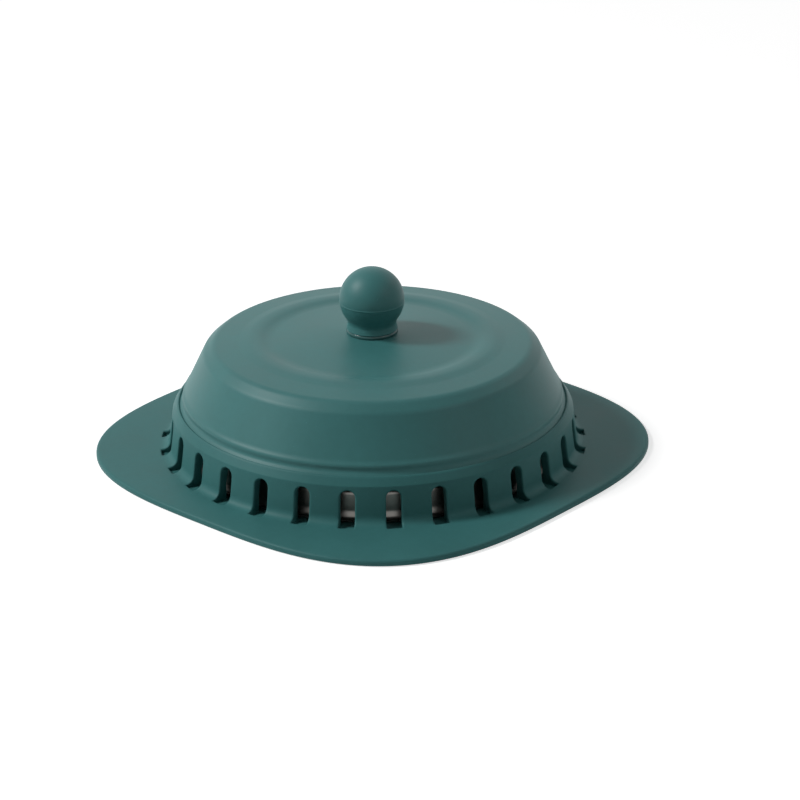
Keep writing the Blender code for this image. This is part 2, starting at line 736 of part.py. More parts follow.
def build_knob_group(carrier, silicone, brass):
    """The ball knob and the threaded insert inside it."""
    place(turned("knob", knob_outline(), KNOB_STEPS, ring=False), carrier, KNOB_BOTTOM, silicone)
    insert = turned("knob_insert", insert_outline(), SMALL_STEPS, ring=False)
    place(insert, carrier, INSERT_BOTTOM, brass)


def build():
    """Model the whole stopper, closed and at rest."""
    start_scene()
    silicone = principled("teal_silicone", TEAL, 0.55, 0.0)
    plastic = principled("teal_acetal", DARK_TEAL, 0.25, 0.0)
    steel = principled("stainless_steel", STEEL, 0.18, 1.0)
    rubber = principled("black_rubber", BLACK, 0.60, 0.0)
    brass = principled("brass", BRASS, 0.35, 1.0)
    lid = slide_axis("lid_axis", CAP_SEAT)
    valve = slide_axis("valve_axis", GASKET_BOTTOM, lid)
    build_base_mat(silicone)
    build_strainer_plate(steel)
    build_dome_cap(lid, silicone)
    build_bush_group(lid, plastic, steel, rubber)
    build_stem_bolt(valve, steel)
    build_bell_group(valve, steel, rubber)
    build_knob_group(valve, silicone, brass)


build()
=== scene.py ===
"""Looks of the drain stopper: moulded silicone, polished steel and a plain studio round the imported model.

Lengths are in metres and angles in radians unless a name says otherwise. Every turned piece is drawn as
corners (radius, height above the floor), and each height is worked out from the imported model's boxes.
"""

from __future__ import annotations

import logging
import math
from collections.abc import Iterable, Sequence
from dataclasses import dataclass, field
from enum import Enum

import bmesh
import bpy
from mathutils import Matrix, Vector


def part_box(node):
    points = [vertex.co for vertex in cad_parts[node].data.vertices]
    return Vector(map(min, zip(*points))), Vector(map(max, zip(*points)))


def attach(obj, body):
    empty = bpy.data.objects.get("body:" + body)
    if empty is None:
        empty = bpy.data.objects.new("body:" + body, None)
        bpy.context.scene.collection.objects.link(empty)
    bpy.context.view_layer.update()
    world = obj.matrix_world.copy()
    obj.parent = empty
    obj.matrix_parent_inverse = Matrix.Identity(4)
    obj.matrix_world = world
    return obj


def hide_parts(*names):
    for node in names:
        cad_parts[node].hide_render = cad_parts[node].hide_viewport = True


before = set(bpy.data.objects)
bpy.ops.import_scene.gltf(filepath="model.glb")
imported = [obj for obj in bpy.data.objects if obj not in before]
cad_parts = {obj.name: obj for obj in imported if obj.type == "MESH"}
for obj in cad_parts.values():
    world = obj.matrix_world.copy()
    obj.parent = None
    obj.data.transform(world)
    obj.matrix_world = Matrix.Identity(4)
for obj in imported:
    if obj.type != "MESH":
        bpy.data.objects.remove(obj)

LOG = logging.getLogger("drain_stopper")

# Inputs of a Mix node: its factor and the two values
NUMBER_MIX = (0, 2, 3)
COLOUR_MIX = (0, 6, 7)

# Rounding of edges that look sharp
CRISP = 0.0001
FINE = 0.0002
SMALL = 0.0003

# Shares that keep fillets clear of each other and flats flat
FILLET_ROOM_SHARE = 0.47
HELD_TANGENT_SHARE = 0.35
HELD_ROOM_SHARE = 0.1

# Hexagon nuts
NUT_COLUMNS = 96
NUT_LAND_SHARE = 0.97
NUT_SLOPE = math.tan(math.radians(30))

DISC_SIDES = 160
WHITE = (1.0, 1.0, 1.0, 1.0)

Colour = tuple[float, float, float, float]
Point = tuple[float, float]


class Body(Enum):
    """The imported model's moving bodies."""

    BASE = "base"
    LID = "lid"
    VALVE = "valve"


class Slot(Enum):
    """The record's material slots."""

    SILICONE = "silicone"
    ACETAL = "acetal"
    STEEL = "steel"
    POLISHED = "polished_steel"
    RUBBER = "rubber"
    BRASS = "brass"


@dataclass(frozen=True)
class Corner:
    """One corner of a turned outline, rounded by its fillet."""

    radius: float
    height: float
    fillet: float = 0.0


def bottom(node: str) -> float:
    """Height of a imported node's underside above the floor."""
    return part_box(node)[0].z


def top(node: str) -> float:
    """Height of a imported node's top above the floor."""
    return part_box(node)[1].z


def reach(node: str) -> float:
    """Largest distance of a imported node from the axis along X."""
    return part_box(node)[1].x


def blend(start: float, end: float, share: float) -> float:
    """The value a share of the way from start to end."""
    return start + (end - start) * share


def rounded(corners: Sequence[Corner], closed: bool = True, segments: int = 5) -> list[Point]:
    """Turn corners into (radius, height) points, with arcs for the fillets.

    A point is held just outside each arc, so that smooth shading stays off the flats beside it.

    Args:
        corners: the outline's corners in order.
        closed: whether the last corner joins the first.
        segments: how many chords make a fillet.

    Returns:
        The points in order.
    """
    made: list[Point] = []
    last = len(corners) - 1
    for i, corner in enumerate(corners):
        here = Vector((corner.radius, corner.height))
        if not corner.fillet or (not closed and i in (0, last)):
            made.append((here.x, here.y))
            continue
        before = corners[i - 1]
        after = corners[(i + 1) % len(corners)]
        back = Vector((before.radius, before.height)) - here
        on = Vector((after.radius, after.height)) - here
        half = back.angle(on) / 2
        room = min(back.length, on.length) * FILLET_ROOM_SHARE
        tangent = min(corner.fillet / math.tan(half), room)
        radius = tangent * math.tan(half)
        back.normalize()
        on.normalize()
        centre = here + (back + on).normalized() * (radius / math.sin(half))
        start = here + back * tangent - centre
        end = here + on * tangent - centre
        held = min(tangent * HELD_TANGENT_SHARE, room * HELD_ROOM_SHARE)
        made.append(tuple(centre + start + back * held))
        for k in range(segments + 1):
            made.append(tuple(centre + start.slerp(end, k / segments) * radius))
        made.append(tuple(centre + end + on * held))
    return made


def around(count: int, first: float = 0.0) -> list[float]:
    """Evenly spaced turns about the axis."""
    return [first + 2 * math.pi * k / count for k in range(count)]


def quarter(steps: int, first: int = 0) -> list[float]:
    """Even steps from 0 to a right angle, from the given step on."""
    return [math.pi / 2 * k / steps for k in range(first, steps + 1)]


def polar(radius: float, turn: float, height: float) -> Vector:
    """A point given by its distance from the axis, its turn and its height."""
    return Vector((radius * math.cos(turn), radius * math.sin(turn), height))


def round_row(radius: float, height: float, turns: Iterable[float]) -> list[Vector]:
    """Points round the axis at one height."""
    return [polar(radius, turn, height) for turn in turns]


def placed(name: str, data: bpy.types.ID) -> bpy.types.Object:
    """A new object in the scene that carries a mesh, a lamp or a camera.

    Args:
        name: the object's name.
        data: its mesh, lamp or camera.

    Returns:
        The object.
    """
    made = bpy.data.objects.new(name, data)
    bpy.context.scene.collection.objects.link(made)
    return made


def skin(shape: bmesh.types.BMesh, rows: Sequence[Sequence[Vector]], closed: bool = False) -> None:
    """Stretch quads over rows of points, each row a closed loop.

    Args:
        shape: the mesh that takes the faces.
        rows: loops with equally many points.
        closed: whether the last row joins the first.
    """
    grid = [[shape.verts.new(point) for point in row] for row in rows]
    pairs = list(zip(grid, grid[1:]))
    if closed:
        pairs.append((grid[-1], grid[0]))
    for here, there in pairs:
        for k in range(len(here)):
            ahead = (k + 1) % len(here)
            shape.faces.new((here[k], here[ahead], there[ahead], there[k]))


def welded(shape: bmesh.types.BMesh, name: str, crease: float = 38.0) -> bpy.types.Mesh:
    """Close a mesh's seams, face it outwards and shade it smooth.

    Args:
        shape: the mesh under construction, freed here.
        name: the new mesh's name.
        crease: edges that turn by more degrees than this stay sharp.

    Returns:
        The finished mesh.
    """
    bmesh.ops.remove_doubles(shape, verts=shape.verts, dist=2e-7)
    bmesh.ops.dissolve_degenerate(shape, dist=1e-7, edges=shape.edges)
    bmesh.ops.recalc_face_normals(shape, faces=shape.faces)
    mesh = bpy.data.meshes.new(name)
    shape.to_mesh(mesh)
    shape.free()
    mesh.shade_smooth()
    mesh.set_sharp_from_angle(angle=math.radians(crease))
    return mesh


def turned(name: str, outline: Sequence[Point], columns: int, crease: float = 38.0) -> bpy.types.Mesh:
    """Turn an outline about the axis.

    Args:
        name: the new mesh's name.
        outline: (radius, height) points; one that starts and ends on the axis is left open.
        columns: how many points go round.
        crease: edges that turn by more degrees than this stay sharp.

    Returns:
        The closed mesh.
    """
    shape = bmesh.new()
    rows = [round_row(radius, height, around(columns)) for radius, height in outline]
    on_axis = outline[0][0] == 0 and outline[-1][0] == 0
    skin(shape, rows, closed=not on_axis)
    return welded(shape, name, crease)


class Tree:
    """A node tree with short calls for adding and joining its nodes."""

    def __init__(self, tree: bpy.types.NodeTree) -> None:
        """Take the tree that is drawn."""
        self.tree = tree

    def add(self, kind: str, **settings: object) -> bpy.types.Node:
        """Add a node.

        Args:
            kind: the node's type.
            **settings: values of the node's own properties.

        Returns:
            The node.
        """
        node = self.tree.nodes.new(kind)
        for name, value in settings.items():
            setattr(node, name, value)
        return node

    def put(self, socket: bpy.types.NodeSocket, value: object) -> None:
        """Link an input to another node's output, or set it to a value.

        Args:
            socket: the input.
            value: another node's output, or a plain value.
        """
        if isinstance(value, bpy.types.NodeSocket):
            self.tree.links.new(value, socket)
        else:
            socket.default_value = value

    def feed(self, node: bpy.types.Node, **values: object) -> bpy.types.Node:
        """Set or link inputs by name, with spaces written as underscores.

        Args:
            node: the node.
            **values: what each input is set to or linked with.

        Returns:
            The same node.
        """
        for name, value in values.items():
            self.put(node.inputs[name.replace("_", " ")], value)
        return node

    def make(self, kind: str, **values: object) -> bpy.types.Node:
        """Add a node and set or link its inputs."""
        return self.feed(self.add(kind), **values)

    def number(self, operation: str, *values: object) -> bpy.types.NodeSocket:
        """A Math node's result, from numbers or sockets.

        Args:
            operation: the Math node's operation.
            *values: its inputs in order.

        Returns:
            The result.
        """
        node = self.add("ShaderNodeMath", operation=operation)
        for socket, value in zip(node.inputs, values):
            self.put(socket, value)
        return node.outputs[0]

    def spread(self, value: bpy.types.NodeSocket, low: float, high: float) -> bpy.types.NodeSocket:
        """Bring a 0 to 1 value to a range."""
        return self.make("ShaderNodeMapRange", Value=value, To_Min=low, To_Max=high).outputs["Result"]

    def noise(self, place: object, scale: object, detail: float, rough: float = 0.5) -> bpy.types.NodeSocket:
        """Cloudy noise, about 0 to 1."""
        node = self.make("ShaderNodeTexNoise", Vector=place, Scale=scale, Detail=detail, Roughness=rough)
        return node.outputs[0]

    def mix(self, factor: object, first: object, second: object) -> bpy.types.NodeSocket:
        """Mix two numbers by a factor.

        Args:
            factor: the share of the second.
            first: the number at factor 0.
            second: the number at factor 1.

        Returns:
            The mixed number.
        """
        node = self.add("ShaderNodeMix")
        for index, value in zip(NUMBER_MIX, (factor, first, second)):
            self.put(node.inputs[index], value)
        return node.outputs[0]

    def tint(self, factor: object, first: object, second: object) -> bpy.types.NodeSocket:
        """Mix two colours by a factor.

        Args:
            factor: the share of the second.
            first: the colour at factor 0.
            second: the colour at factor 1.

        Returns:
            The mixed colour.
        """
        node = self.add("ShaderNodeMix", data_type="RGBA")
        for index, value in zip(COLOUR_MIX, (factor, first, second)):
            self.put(node.inputs[index], value)
        return node.outputs[2]

    def join(self, *geometries: bpy.types.NodeSocket) -> bpy.types.NodeSocket:
        """Join geometries.

        Args:
            *geometries: what is joined.

        Returns:
            The joined geometry.
        """
        node = self.add("GeometryNodeJoinGeometry")
        for geometry in geometries:
            self.put(node.inputs[0], geometry)
        return node.outputs[0]


class Effect(Enum):
    """The surface effects that materials share, each a node group."""

    MOTTLE = "Soft mottle"
    GRAIN = "Mould grain"
    SPECKS = "Settled specks"
    LINES = "Turned lines"


class Effects:
    """Builds each shared effect once and places it in materials."""

    def __init__(self) -> None:
        """Draw the node groups."""
        self.groups = {
            Effect.MOTTLE: self._mottle(),
            Effect.GRAIN: self._grain(),
            Effect.SPECKS: self._specks(),
            Effect.LINES: self._lines(),
        }

    def place(self, tree: Tree, effect: Effect, **values: object) -> bpy.types.NodeSocket:
        """Put an effect in a material.

        Args:
            tree: the material's tree.
            effect: which effect.
            **values: its inputs.

        Returns:
            The effect's result.
        """
        node = tree.add("ShaderNodeGroup", node_tree=self.groups[effect])
        tree.feed(node, **values)
        return node.outputs[0]

    @staticmethod
    def _start(effect: Effect, inputs: Iterable[tuple[str, float]]) -> tuple[Tree, bpy.types.Node]:
        """Open a group with a vector and some numbers going in and one value coming out.

        Args:
            effect: the effect, whose name the group takes.
            inputs: (name, default) of each number that goes in.

        Returns:
            The group's tree and its input node.
        """
        group = bpy.data.node_groups.new(effect.value, "ShaderNodeTree")
        group.interface.new_socket(name="Vector", in_out="INPUT", socket_type="NodeSocketVector")
        for name, default in inputs:
            socket = group.interface.new_socket(name=name, in_out="INPUT", socket_type="NodeSocketFloat")
            socket.default_value = default
        group.interface.new_socket(name="Value", in_out="OUTPUT", socket_type="NodeSocketFloat")
        tree = Tree(group)
        return tree, tree.add("NodeGroupInput")

    @staticmethod
    def _end(tree: Tree, value: bpy.types.NodeSocket) -> bpy.types.NodeTree:
        """Close a group with its result."""
        tree.make("NodeGroupOutput", Value=value)
        return tree.tree

    def _mottle(self) -> bpy.types.NodeTree:
        """Broad cloudy change with a finer one over it, from 0 to 1.

        Returns:
            The node group.
        """
        tree, given = self._start(Effect.MOTTLE, [("Scale", 60.0), ("Fine Share", 0.35)])
        place = given.outputs["Vector"]
        finer = tree.number("MULTIPLY", given.outputs["Scale"], 7.0)
        broad = tree.noise(place, given.outputs["Scale"], detail=3.0)
        fine = tree.noise(place, finer, detail=4.0, rough=0.62)
        return self._end(tree, tree.mix(given.outputs["Fine Share"], broad, fine))

    def _grain(self) -> bpy.types.NodeTree:
        """The matt texture that a blasted mould leaves, as a height.

        Returns:
            The node group.
        """
        tree, given = self._start(Effect.GRAIN, [("Scale", 2200.0)])
        place = given.outputs["Vector"]
        pits = tree.add("ShaderNodeTexVoronoi", feature="SMOOTH_F1")
        tree.feed(pits, Vector=place, Scale=given.outputs["Scale"], Smoothness=0.8)
        wider = tree.number("MULTIPLY", given.outputs["Scale"], 0.3)
        waves = tree.noise(place, wider, detail=5.0, rough=0.7)
        return self._end(tree, tree.number("MULTIPLY_ADD", pits.outputs["Distance"], 0.45, waves))

    def _specks(self) -> bpy.types.NodeTree:
        """A mask of scattered specks: dust, lime dots and tiny handling marks.

        Returns:
            The node group.
        """
        tree, given = self._start(Effect.SPECKS, [("Scale", 700.0), ("Amount", 0.2)])
        place, scale, amount = (given.outputs[name] for name in ("Vector", "Scale", "Amount"))
        cells = tree.make("ShaderNodeTexVoronoi", Vector=place, Scale=scale)
        near = tree.number("LESS_THAN", cells.outputs["Distance"], tree.number("MULTIPLY", amount, 0.5))
        chance = tree.make("ShaderNodeSeparateColor", Color=cells.outputs["Color"])
        chosen = tree.number("LESS_THAN", chance.outputs[0], amount)
        return self._end(tree, tree.number("MULTIPLY", near, chosen))

    def _lines(self) -> bpy.types.NodeTree:
        """Fine lines that run round the axis, as a lathe or a polishing wheel leaves them.

        Returns:
            The node group.
        """
        tree, given = self._start(Effect.LINES, [("Fineness", 9000.0)])
        fineness = given.outputs["Fineness"]
        x, y, z = tree.make("ShaderNodeSeparateXYZ", Vector=given.outputs["Vector"]).outputs
        squares = tree.number("MULTIPLY_ADD", y, y, tree.number("MULTIPLY", x, x))
        across = tree.number("SQRT", squares)
        turn = tree.number("ARCTAN2", y, x)
        place = tree.make(
            "ShaderNodeCombineXYZ",
            X=tree.number("MULTIPLY", across, fineness),
            Y=tree.number("MULTIPLY", z, fineness),
            Z=tree.number("MULTIPLY", turn, 1.5),
        )
        return self._end(tree, tree.noise(place.outputs[0], 1.0, detail=3.0, rough=0.6))


def start_material(title: str) -> tuple[bpy.types.Material, Tree, bpy.types.Node, bpy.types.NodeSocket]:
    """Open a material: its datablock, tree, Principled BSDF and Object coordinates.

    Args:
        title: the material's name.

    Returns:
        The material, its tree, its Principled BSDF and the Object coordinates.
    """
    made = bpy.data.materials.new(title)
    made.use_nodes = True
    tree = Tree(made.node_tree)
    shader = made.node_tree.nodes["Principled BSDF"]
    place = tree.add("ShaderNodeTexCoord").outputs["Object"]
    return made, tree, shader, place


def add_relief(tree: Tree, shader: bpy.types.Node, height: bpy.types.NodeSocket, depth: float) -> None:
    """Feed a height to a shader's normal through a Bump node.

    Args:
        tree: the material's tree.
        shader: its Principled BSDF.
        height: the height, about 0 to 1.
        depth: how deep a height of 1 is.
    """
    relief = tree.make("ShaderNodeBump", Height=height, Distance=depth, Strength=1.0)
    tree.feed(shader, Normal=relief.outputs[0])


@dataclass(frozen=True)
class MouldedFinish:
    """Moulded silicone, plastic or rubber: mottled colour, mould grain and a few specks."""

    title: str
    slot: Slot
    shade: Colour
    light: Colour
    roughness: float
    gloss: float
    sheen: float
    grain_depth: float
    speck_amount: float
    contrast: tuple[float, float] = (-0.6, 1.6)
    speck_brightness: float = 1.5
    speck_paleness: float = 0.03
    speck_strength: float = 0.45
    speck_roughness: float = 0.1
    unevenness: float = 0.07
    refraction: float = 1.43
    sheen_roughness: float = 0.35

    def material(self, effects: Effects) -> bpy.types.Material:
        """Draw the finish's material.

        Args:
            effects: the shared effects.

        Returns:
            The material.
        """
        made, tree, shader, place = start_material(self.title)
        mottle = effects.place(tree, Effect.MOTTLE, Vector=place)
        grain = effects.place(tree, Effect.GRAIN, Vector=place)
        specks = effects.place(tree, Effect.SPECKS, Vector=place, Amount=self.speck_amount)
        colour = tree.tint(tree.spread(mottle, *self.contrast), self.shade, self.light)
        pale = [min(1.0, part * self.speck_brightness + self.speck_paleness) for part in self.light[:3]]
        faint = tree.number("MULTIPLY", specks, self.speck_strength)
        rough = tree.spread(mottle, self.roughness - self.unevenness, self.roughness + self.unevenness)
        tree.feed(
            shader,
            Base_Color=tree.tint(faint, colour, (*pale, 1.0)),
            Roughness=tree.number("MULTIPLY_ADD", specks, self.speck_roughness, rough),
            IOR=self.refraction,
            Specular_IOR_Level=self.gloss,
            Sheen_Weight=self.sheen,
            Sheen_Roughness=self.sheen_roughness,
        )
        add_relief(tree, shader, grain, self.grain_depth)
        return made


@dataclass(frozen=True)
class MetalFinish:
    """Turned, brushed or polished metal with lines round the axis and dry water marks."""

    title: str
    slot: Slot
    shade: Colour
    light: Colour
    roughness: float
    line_share: float
    line_depth: float
    mottle_scale: float = 110.0
    mark_scale: float = 420.0
    mark_amount: float = 0.12
    mark_roughness: float = 0.15
    unevenness: float = 0.25

    def material(self, effects: Effects) -> bpy.types.Material:
        """Draw the finish's material.

        Args:
            effects: the shared effects.

        Returns:
            The material.
        """
        made, tree, shader, place = start_material(self.title)
        lines = effects.place(tree, Effect.LINES, Vector=place)
        mottle = effects.place(tree, Effect.MOTTLE, Vector=place, Scale=self.mottle_scale)
        marks = effects.place(
            tree, Effect.SPECKS, Vector=place, Scale=self.mark_scale, Amount=self.mark_amount
        )
        rest = tree.number("MULTIPLY", mottle, 1 - self.line_share)
        shared = tree.number("MULTIPLY_ADD", lines, self.line_share, rest)
        worn = tree.spread(
            mottle, self.roughness * (1 - self.unevenness), self.roughness * (1 + self.unevenness)
        )
        lined = tree.number("MULTIPLY_ADD", lines, self.roughness * self.line_share, worn)
        tree.feed(
            shader,
            Base_Color=tree.tint(shared, self.shade, self.light),
            Roughness=tree.number("MULTIPLY_ADD", marks, self.mark_roughness, lined),
            Metallic=1.0,
        )
        add_relief(tree, shader, lines, self.line_depth)
        return made


SILICONE = MouldedFinish(
    title="Teal silicone",
    slot=Slot.SILICONE,
    shade=(0.040, 0.163, 0.162, 1.0),
    light=(0.050, 0.197, 0.196, 1.0),
    roughness=0.47,
    gloss=0.4,
    sheen=0.02,
    grain_depth=0.000012,
    speck_amount=0.16,
)
BASE_SILICONE = MouldedFinish(
    title="Teal silicone of the mat",
    slot=Slot.SILICONE,
    shade=(0.040, 0.156, 0.155, 1.0),
    light=(0.050, 0.189, 0.188, 1.0),
    roughness=0.5,
    gloss=0.22,
    sheen=0.0,
    grain_depth=0.000014,
    speck_amount=0.16,
)
ACETAL = MouldedFinish(
    title="Teal acetal",
    slot=Slot.ACETAL,
    shade=(0.032, 0.118, 0.117, 1.0),
    light=(0.042, 0.148, 0.146, 1.0),
    roughness=0.2,
    gloss=0.45,
    sheen=0.0,
    grain_depth=0.000004,
    speck_amount=0.06,
)
RUBBER = MouldedFinish(
    title="Black rubber",
    slot=Slot.RUBBER,
    shade=(0.012, 0.012, 0.013, 1.0),
    light=(0.022, 0.022, 0.023, 1.0),
    roughness=0.55,
    gloss=0.4,
    sheen=0.05,
    grain_depth=0.000010,
    speck_amount=0.12,
)
# Painted shade: this steel's colour is set far darker than real polished stainless, so that the bell seen
# through the slots looks shaded inside the collar.
POLISHED = MetalFinish(
    title="Polished stainless darkened as painted shade",
    slot=Slot.POLISHED,
    shade=(0.14, 0.135, 0.125, 1.0),
    light=(0.24, 0.233, 0.22, 1.0),
    roughness=0.26,
    line_share=0.35,
    line_depth=0.0000015,
)
BRUSHED = MetalFinish(
    title="Brushed stainless",
    slot=Slot.STEEL,
    shade=(0.46, 0.46, 0.45, 1.0),
    light=(0.66, 0.66, 0.64, 1.0),
    roughness=0.24,
    line_share=0.7,
    line_depth=0.000004,
)
BRASS = MetalFinish(
    title="Turned brass",
    slot=Slot.BRASS,
    shade=(0.50, 0.33, 0.12, 1.0),
    light=(0.68, 0.48, 0.20, 1.0),
    roughness=0.28,
    line_share=0.6,
    line_depth=0.000005,
)
FINISHES = (SILICONE, BASE_SILICONE, ACETAL, RUBBER, POLISHED, BRUSHED, BRASS)
Finish = MouldedFinish | MetalFinish


class Workshop:
    """Makes finished pieces: dresses a mesh, puts it on its body and hides the imported nodes that it
    replaces.
    """

    def __init__(self) -> None:
        """Draw every finish's material once."""
        effects = Effects()
        self.materials = {finish: finish.material(effects) for finish in FINISHES}

    def issue(self, mesh: bpy.types.Mesh, finish: Finish, body: Body, *nodes: str) -> bpy.types.Object:
        """Turn a mesh into a piece of the object.

        Args:
            mesh: the finished mesh, in place.
            finish: what it is made of.
            body: what it moves with.
            *nodes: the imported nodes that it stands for.

        Returns:
            The piece.
        """
        mesh.materials.clear()
        mesh.materials.append(self.materials[finish])
        piece = placed(mesh.name, mesh)
        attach(piece, body.value)
        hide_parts(*nodes)
        LOG.info("%s: %d faces on %s", piece.name, len(mesh.polygons), body.value)
        return piece

    def dress(self, node: str, finish: Finish) -> None:
        """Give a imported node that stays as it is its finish.

        Args:
            node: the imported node's name.
            finish: what it is made of.
        """
        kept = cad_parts[node]
        kept.data.materials.clear()
        kept.data.materials.append(self.materials[finish])
        LOG.info("%s: kept from the packed model", node)


def run_tree(
    mesh: bpy.types.Mesh, tree: bpy.types.NodeTree, name: str, inputs: dict[str, object]
) -> bpy.types.Mesh:
    """Evaluate a Geometry Nodes tree on a mesh.

    Args:
        mesh: what goes in.
        tree: the tree, whose first input is the geometry.
        name: the result's name.
        inputs: the other inputs' values by socket name.

    Returns:
        The result as a plain mesh.
    """
    carrier = placed(name + "_source", mesh)
    step = carrier.modifiers.new("repeat", "NODES")
    step.node_group = tree
    identifiers = {
        item.name: item.identifier for item in tree.interface.items_tree if item.in_out == "INPUT"
    }
    for title, value in inputs.items():
        step[identifiers[title]] = value
    graph = bpy.context.evaluated_depsgraph_get()
    graph.update()
    result = bpy.data.meshes.new_from_object(carrier.evaluated_get(graph))
    carrier.modifiers.clear()
    bpy.data.objects.remove(carrier)
    result.name = name
    return result


def start_geometry_tree(title: str, inputs: Iterable[tuple[str, str]]) -> tuple[Tree, bpy.types.Node]:
    """Open a Geometry Nodes tree.

    Args:
        title: its name.
        inputs: (name, socket type) of each input after the geometry.

    Returns:
        The tree and its input node.
    """
    group = bpy.data.node_groups.new(title, "GeometryNodeTree")
    group.interface.new_socket(name="Geometry", in_out="INPUT", socket_type="NodeSocketGeometry")
    for name, kind in inputs:
        group.interface.new_socket(name=name, in_out="INPUT", socket_type=kind)
    group.interface.new_socket(name="Geometry", in_out="OUTPUT", socket_type="NodeSocketGeometry")
    tree = Tree(group)
    return tree, tree.add("NodeGroupInput")


def end_geometry_tree(
    tree: Tree, geometry: bpy.types.NodeSocket, material: bpy.types.NodeSocket
) -> bpy.types.NodeTree:
    """Close a tree with Realize Instances and Set Material.

    Args:
        tree: the tree.
        geometry: what it puts out, with or without instances.
        material: the material's socket.

    Returns:
        The node group.
    """
    real = tree.make("GeometryNodeRealizeInstances", Geometry=geometry)
    dressed = tree.make("GeometryNodeSetMaterial", Geometry=real.outputs[0], Material=material)
    tree.make("NodeGroupOutput", Geometry=dressed.outputs[0])
    return tree.tree


def ring_tree() -> bpy.types.NodeTree:
    """Repeat a sector about the axis: Count copies, the first at First Turn.

    Returns:
        The node group.
    """
    tree, given = start_geometry_tree(
        "Ring of sectors",
        [("Count", "NodeSocketInt"), ("First Turn", "NodeSocketFloat"), ("Material", "NodeSocketMaterial")],
    )
    places = tree.make("GeometryNodeMeshLine", Count=given.outputs["Count"], Offset=(0.0, 0.0, 0.0))
    index = tree.add("GeometryNodeInputIndex").outputs[0]
    step = tree.number("DIVIDE", 2 * math.pi, given.outputs["Count"])
    turn = tree.number("MULTIPLY_ADD", index, step, given.outputs["First Turn"])
    rotation = tree.make("ShaderNodeCombineXYZ", Z=turn)
    copies = tree.make(
        "GeometryNodeInstanceOnPoints",
        Points=places.outputs[0],
        Instance=given.outputs["Geometry"],
        Rotation=rotation.outputs[0],
    )
    return end_geometry_tree(tree, copies.outputs[0], given.outputs["Material"])


def perforation_tree() -> bpy.types.NodeTree:
    """A disc with a round hole at each point that goes in, pushed out to its thickness.

    Returns:
        The node group.
    """
    tree, given = start_geometry_tree(
        "Perforated disc",
        [
            ("Disc Radius", "NodeSocketFloat"),
            ("Hole Radius", "NodeSocketFloat"),
            ("Thickness", "NodeSocketFloat"),
            ("Hole Sides", "NodeSocketInt"),
            ("Material", "NodeSocketMaterial"),
        ],
    )
    circle = "GeometryNodeCurvePrimitiveCircle"
    rim = tree.make(circle, Resolution=DISC_SIDES, Radius=given.outputs["Disc Radius"])
    hole = tree.make(circle, Resolution=given.outputs["Hole Sides"], Radius=given.outputs["Hole Radius"])
    holes = tree.make(
        "GeometryNodeInstanceOnPoints", Points=given.outputs["Geometry"], Instance=hole.outputs[0]
    )
    real = tree.make("GeometryNodeRealizeInstances", Geometry=holes.outputs[0])
    sheet = tree.make("GeometryNodeFillCurve", Curve=tree.join(rim.outputs[0], real.outputs[0])).outputs[0]
    raised = tree.make(
        "GeometryNodeExtrudeMesh", Mesh=sheet, Offset_Scale=given.outputs["Thickness"], Individual=False
    )
    under = tree.make("GeometryNodeFlipFaces", Mesh=sheet)
    return end_geometry_tree(tree, tree.join(raised.outputs[0], under.outputs[0]), given.outputs["Material"])


class Rail:
    """A wall's outline that can be walked by its length from the top."""

    def __init__(self, points: Sequence[Point]) -> None:
        """Measure the outline.

        Args:
            points: (radius, height) points from the top down.
        """
        self.points = [Vector(point) for point in points]
        self.lengths = [0.0]
        for here, there in zip(self.points, self.points[1:]):
            self.lengths.append(self.lengths[-1] + (there - here).length)

    @property
    def length(self) -> float:
        """The whole length."""
        return self.lengths[-1]

    def _segment(self, length: float) -> int:
        """The index of the segment that holds a length.

        Args:
            length: a length from the top.

        Returns:
            The index of the point before it.
        """
        for i in range(len(self.points) - 2):
            if length < self.lengths[i + 1]:
                return i
        return len(self.points) - 2

    def at(self, length: float) -> Vector:
        """The (radius, height) at a length from the top.

        Args:
            length: a length from the top.

        Returns:
            The point.
        """
        i = self._segment(length)
        share = (length - self.lengths[i]) / (self.lengths[i + 1] - self.lengths[i])
        return self.points[i].lerp(self.points[i + 1], share)

    def outward(self, length: float) -> Vector:
        """The unit vector out of the wall, averaged a little along it.

        Args:
            length: a length from the top.

        Returns:
            The vector as (radius, height).
        """
        step = self.length / 60
        here = self.at(max(0.0, length - step))
        there = self.at(min(self.length, length + step))
        along = (there - here).normalized()
        return Vector((-along.y, along.x))

    def length_where(self, value: float, axis: int) -> float:
        """The first length at which the radius (axis 0) or the height (axis 1) has a value.

        Args:
            value: the radius or height, held between the wall's ends.
            axis: 0 for a radius, 1 for a height.

        Returns:
            The length from the top.
        """
        ends = (self.points[0][axis], self.points[-1][axis])
        held = min(max(value, min(ends)), max(ends))
        for i, (here, there) in enumerate(zip(self.points, self.points[1:])):
            low, high = sorted((here[axis], there[axis]))
            if low <= held <= high and high > low:
                share = (held - here[axis]) / (there[axis] - here[axis])
                return blend(self.lengths[i], self.lengths[i + 1], share)
        raise ValueError(f"the wall never reaches {value}")


@dataclass
class SlotStation:
    """One place on a slot's edge and where the rows of faces through it end."""

    across: float
    length: float
    side: Vector
    turn: float
    outer_length: float
    inner_height: float
    inner_end: float
    on_floor: bool


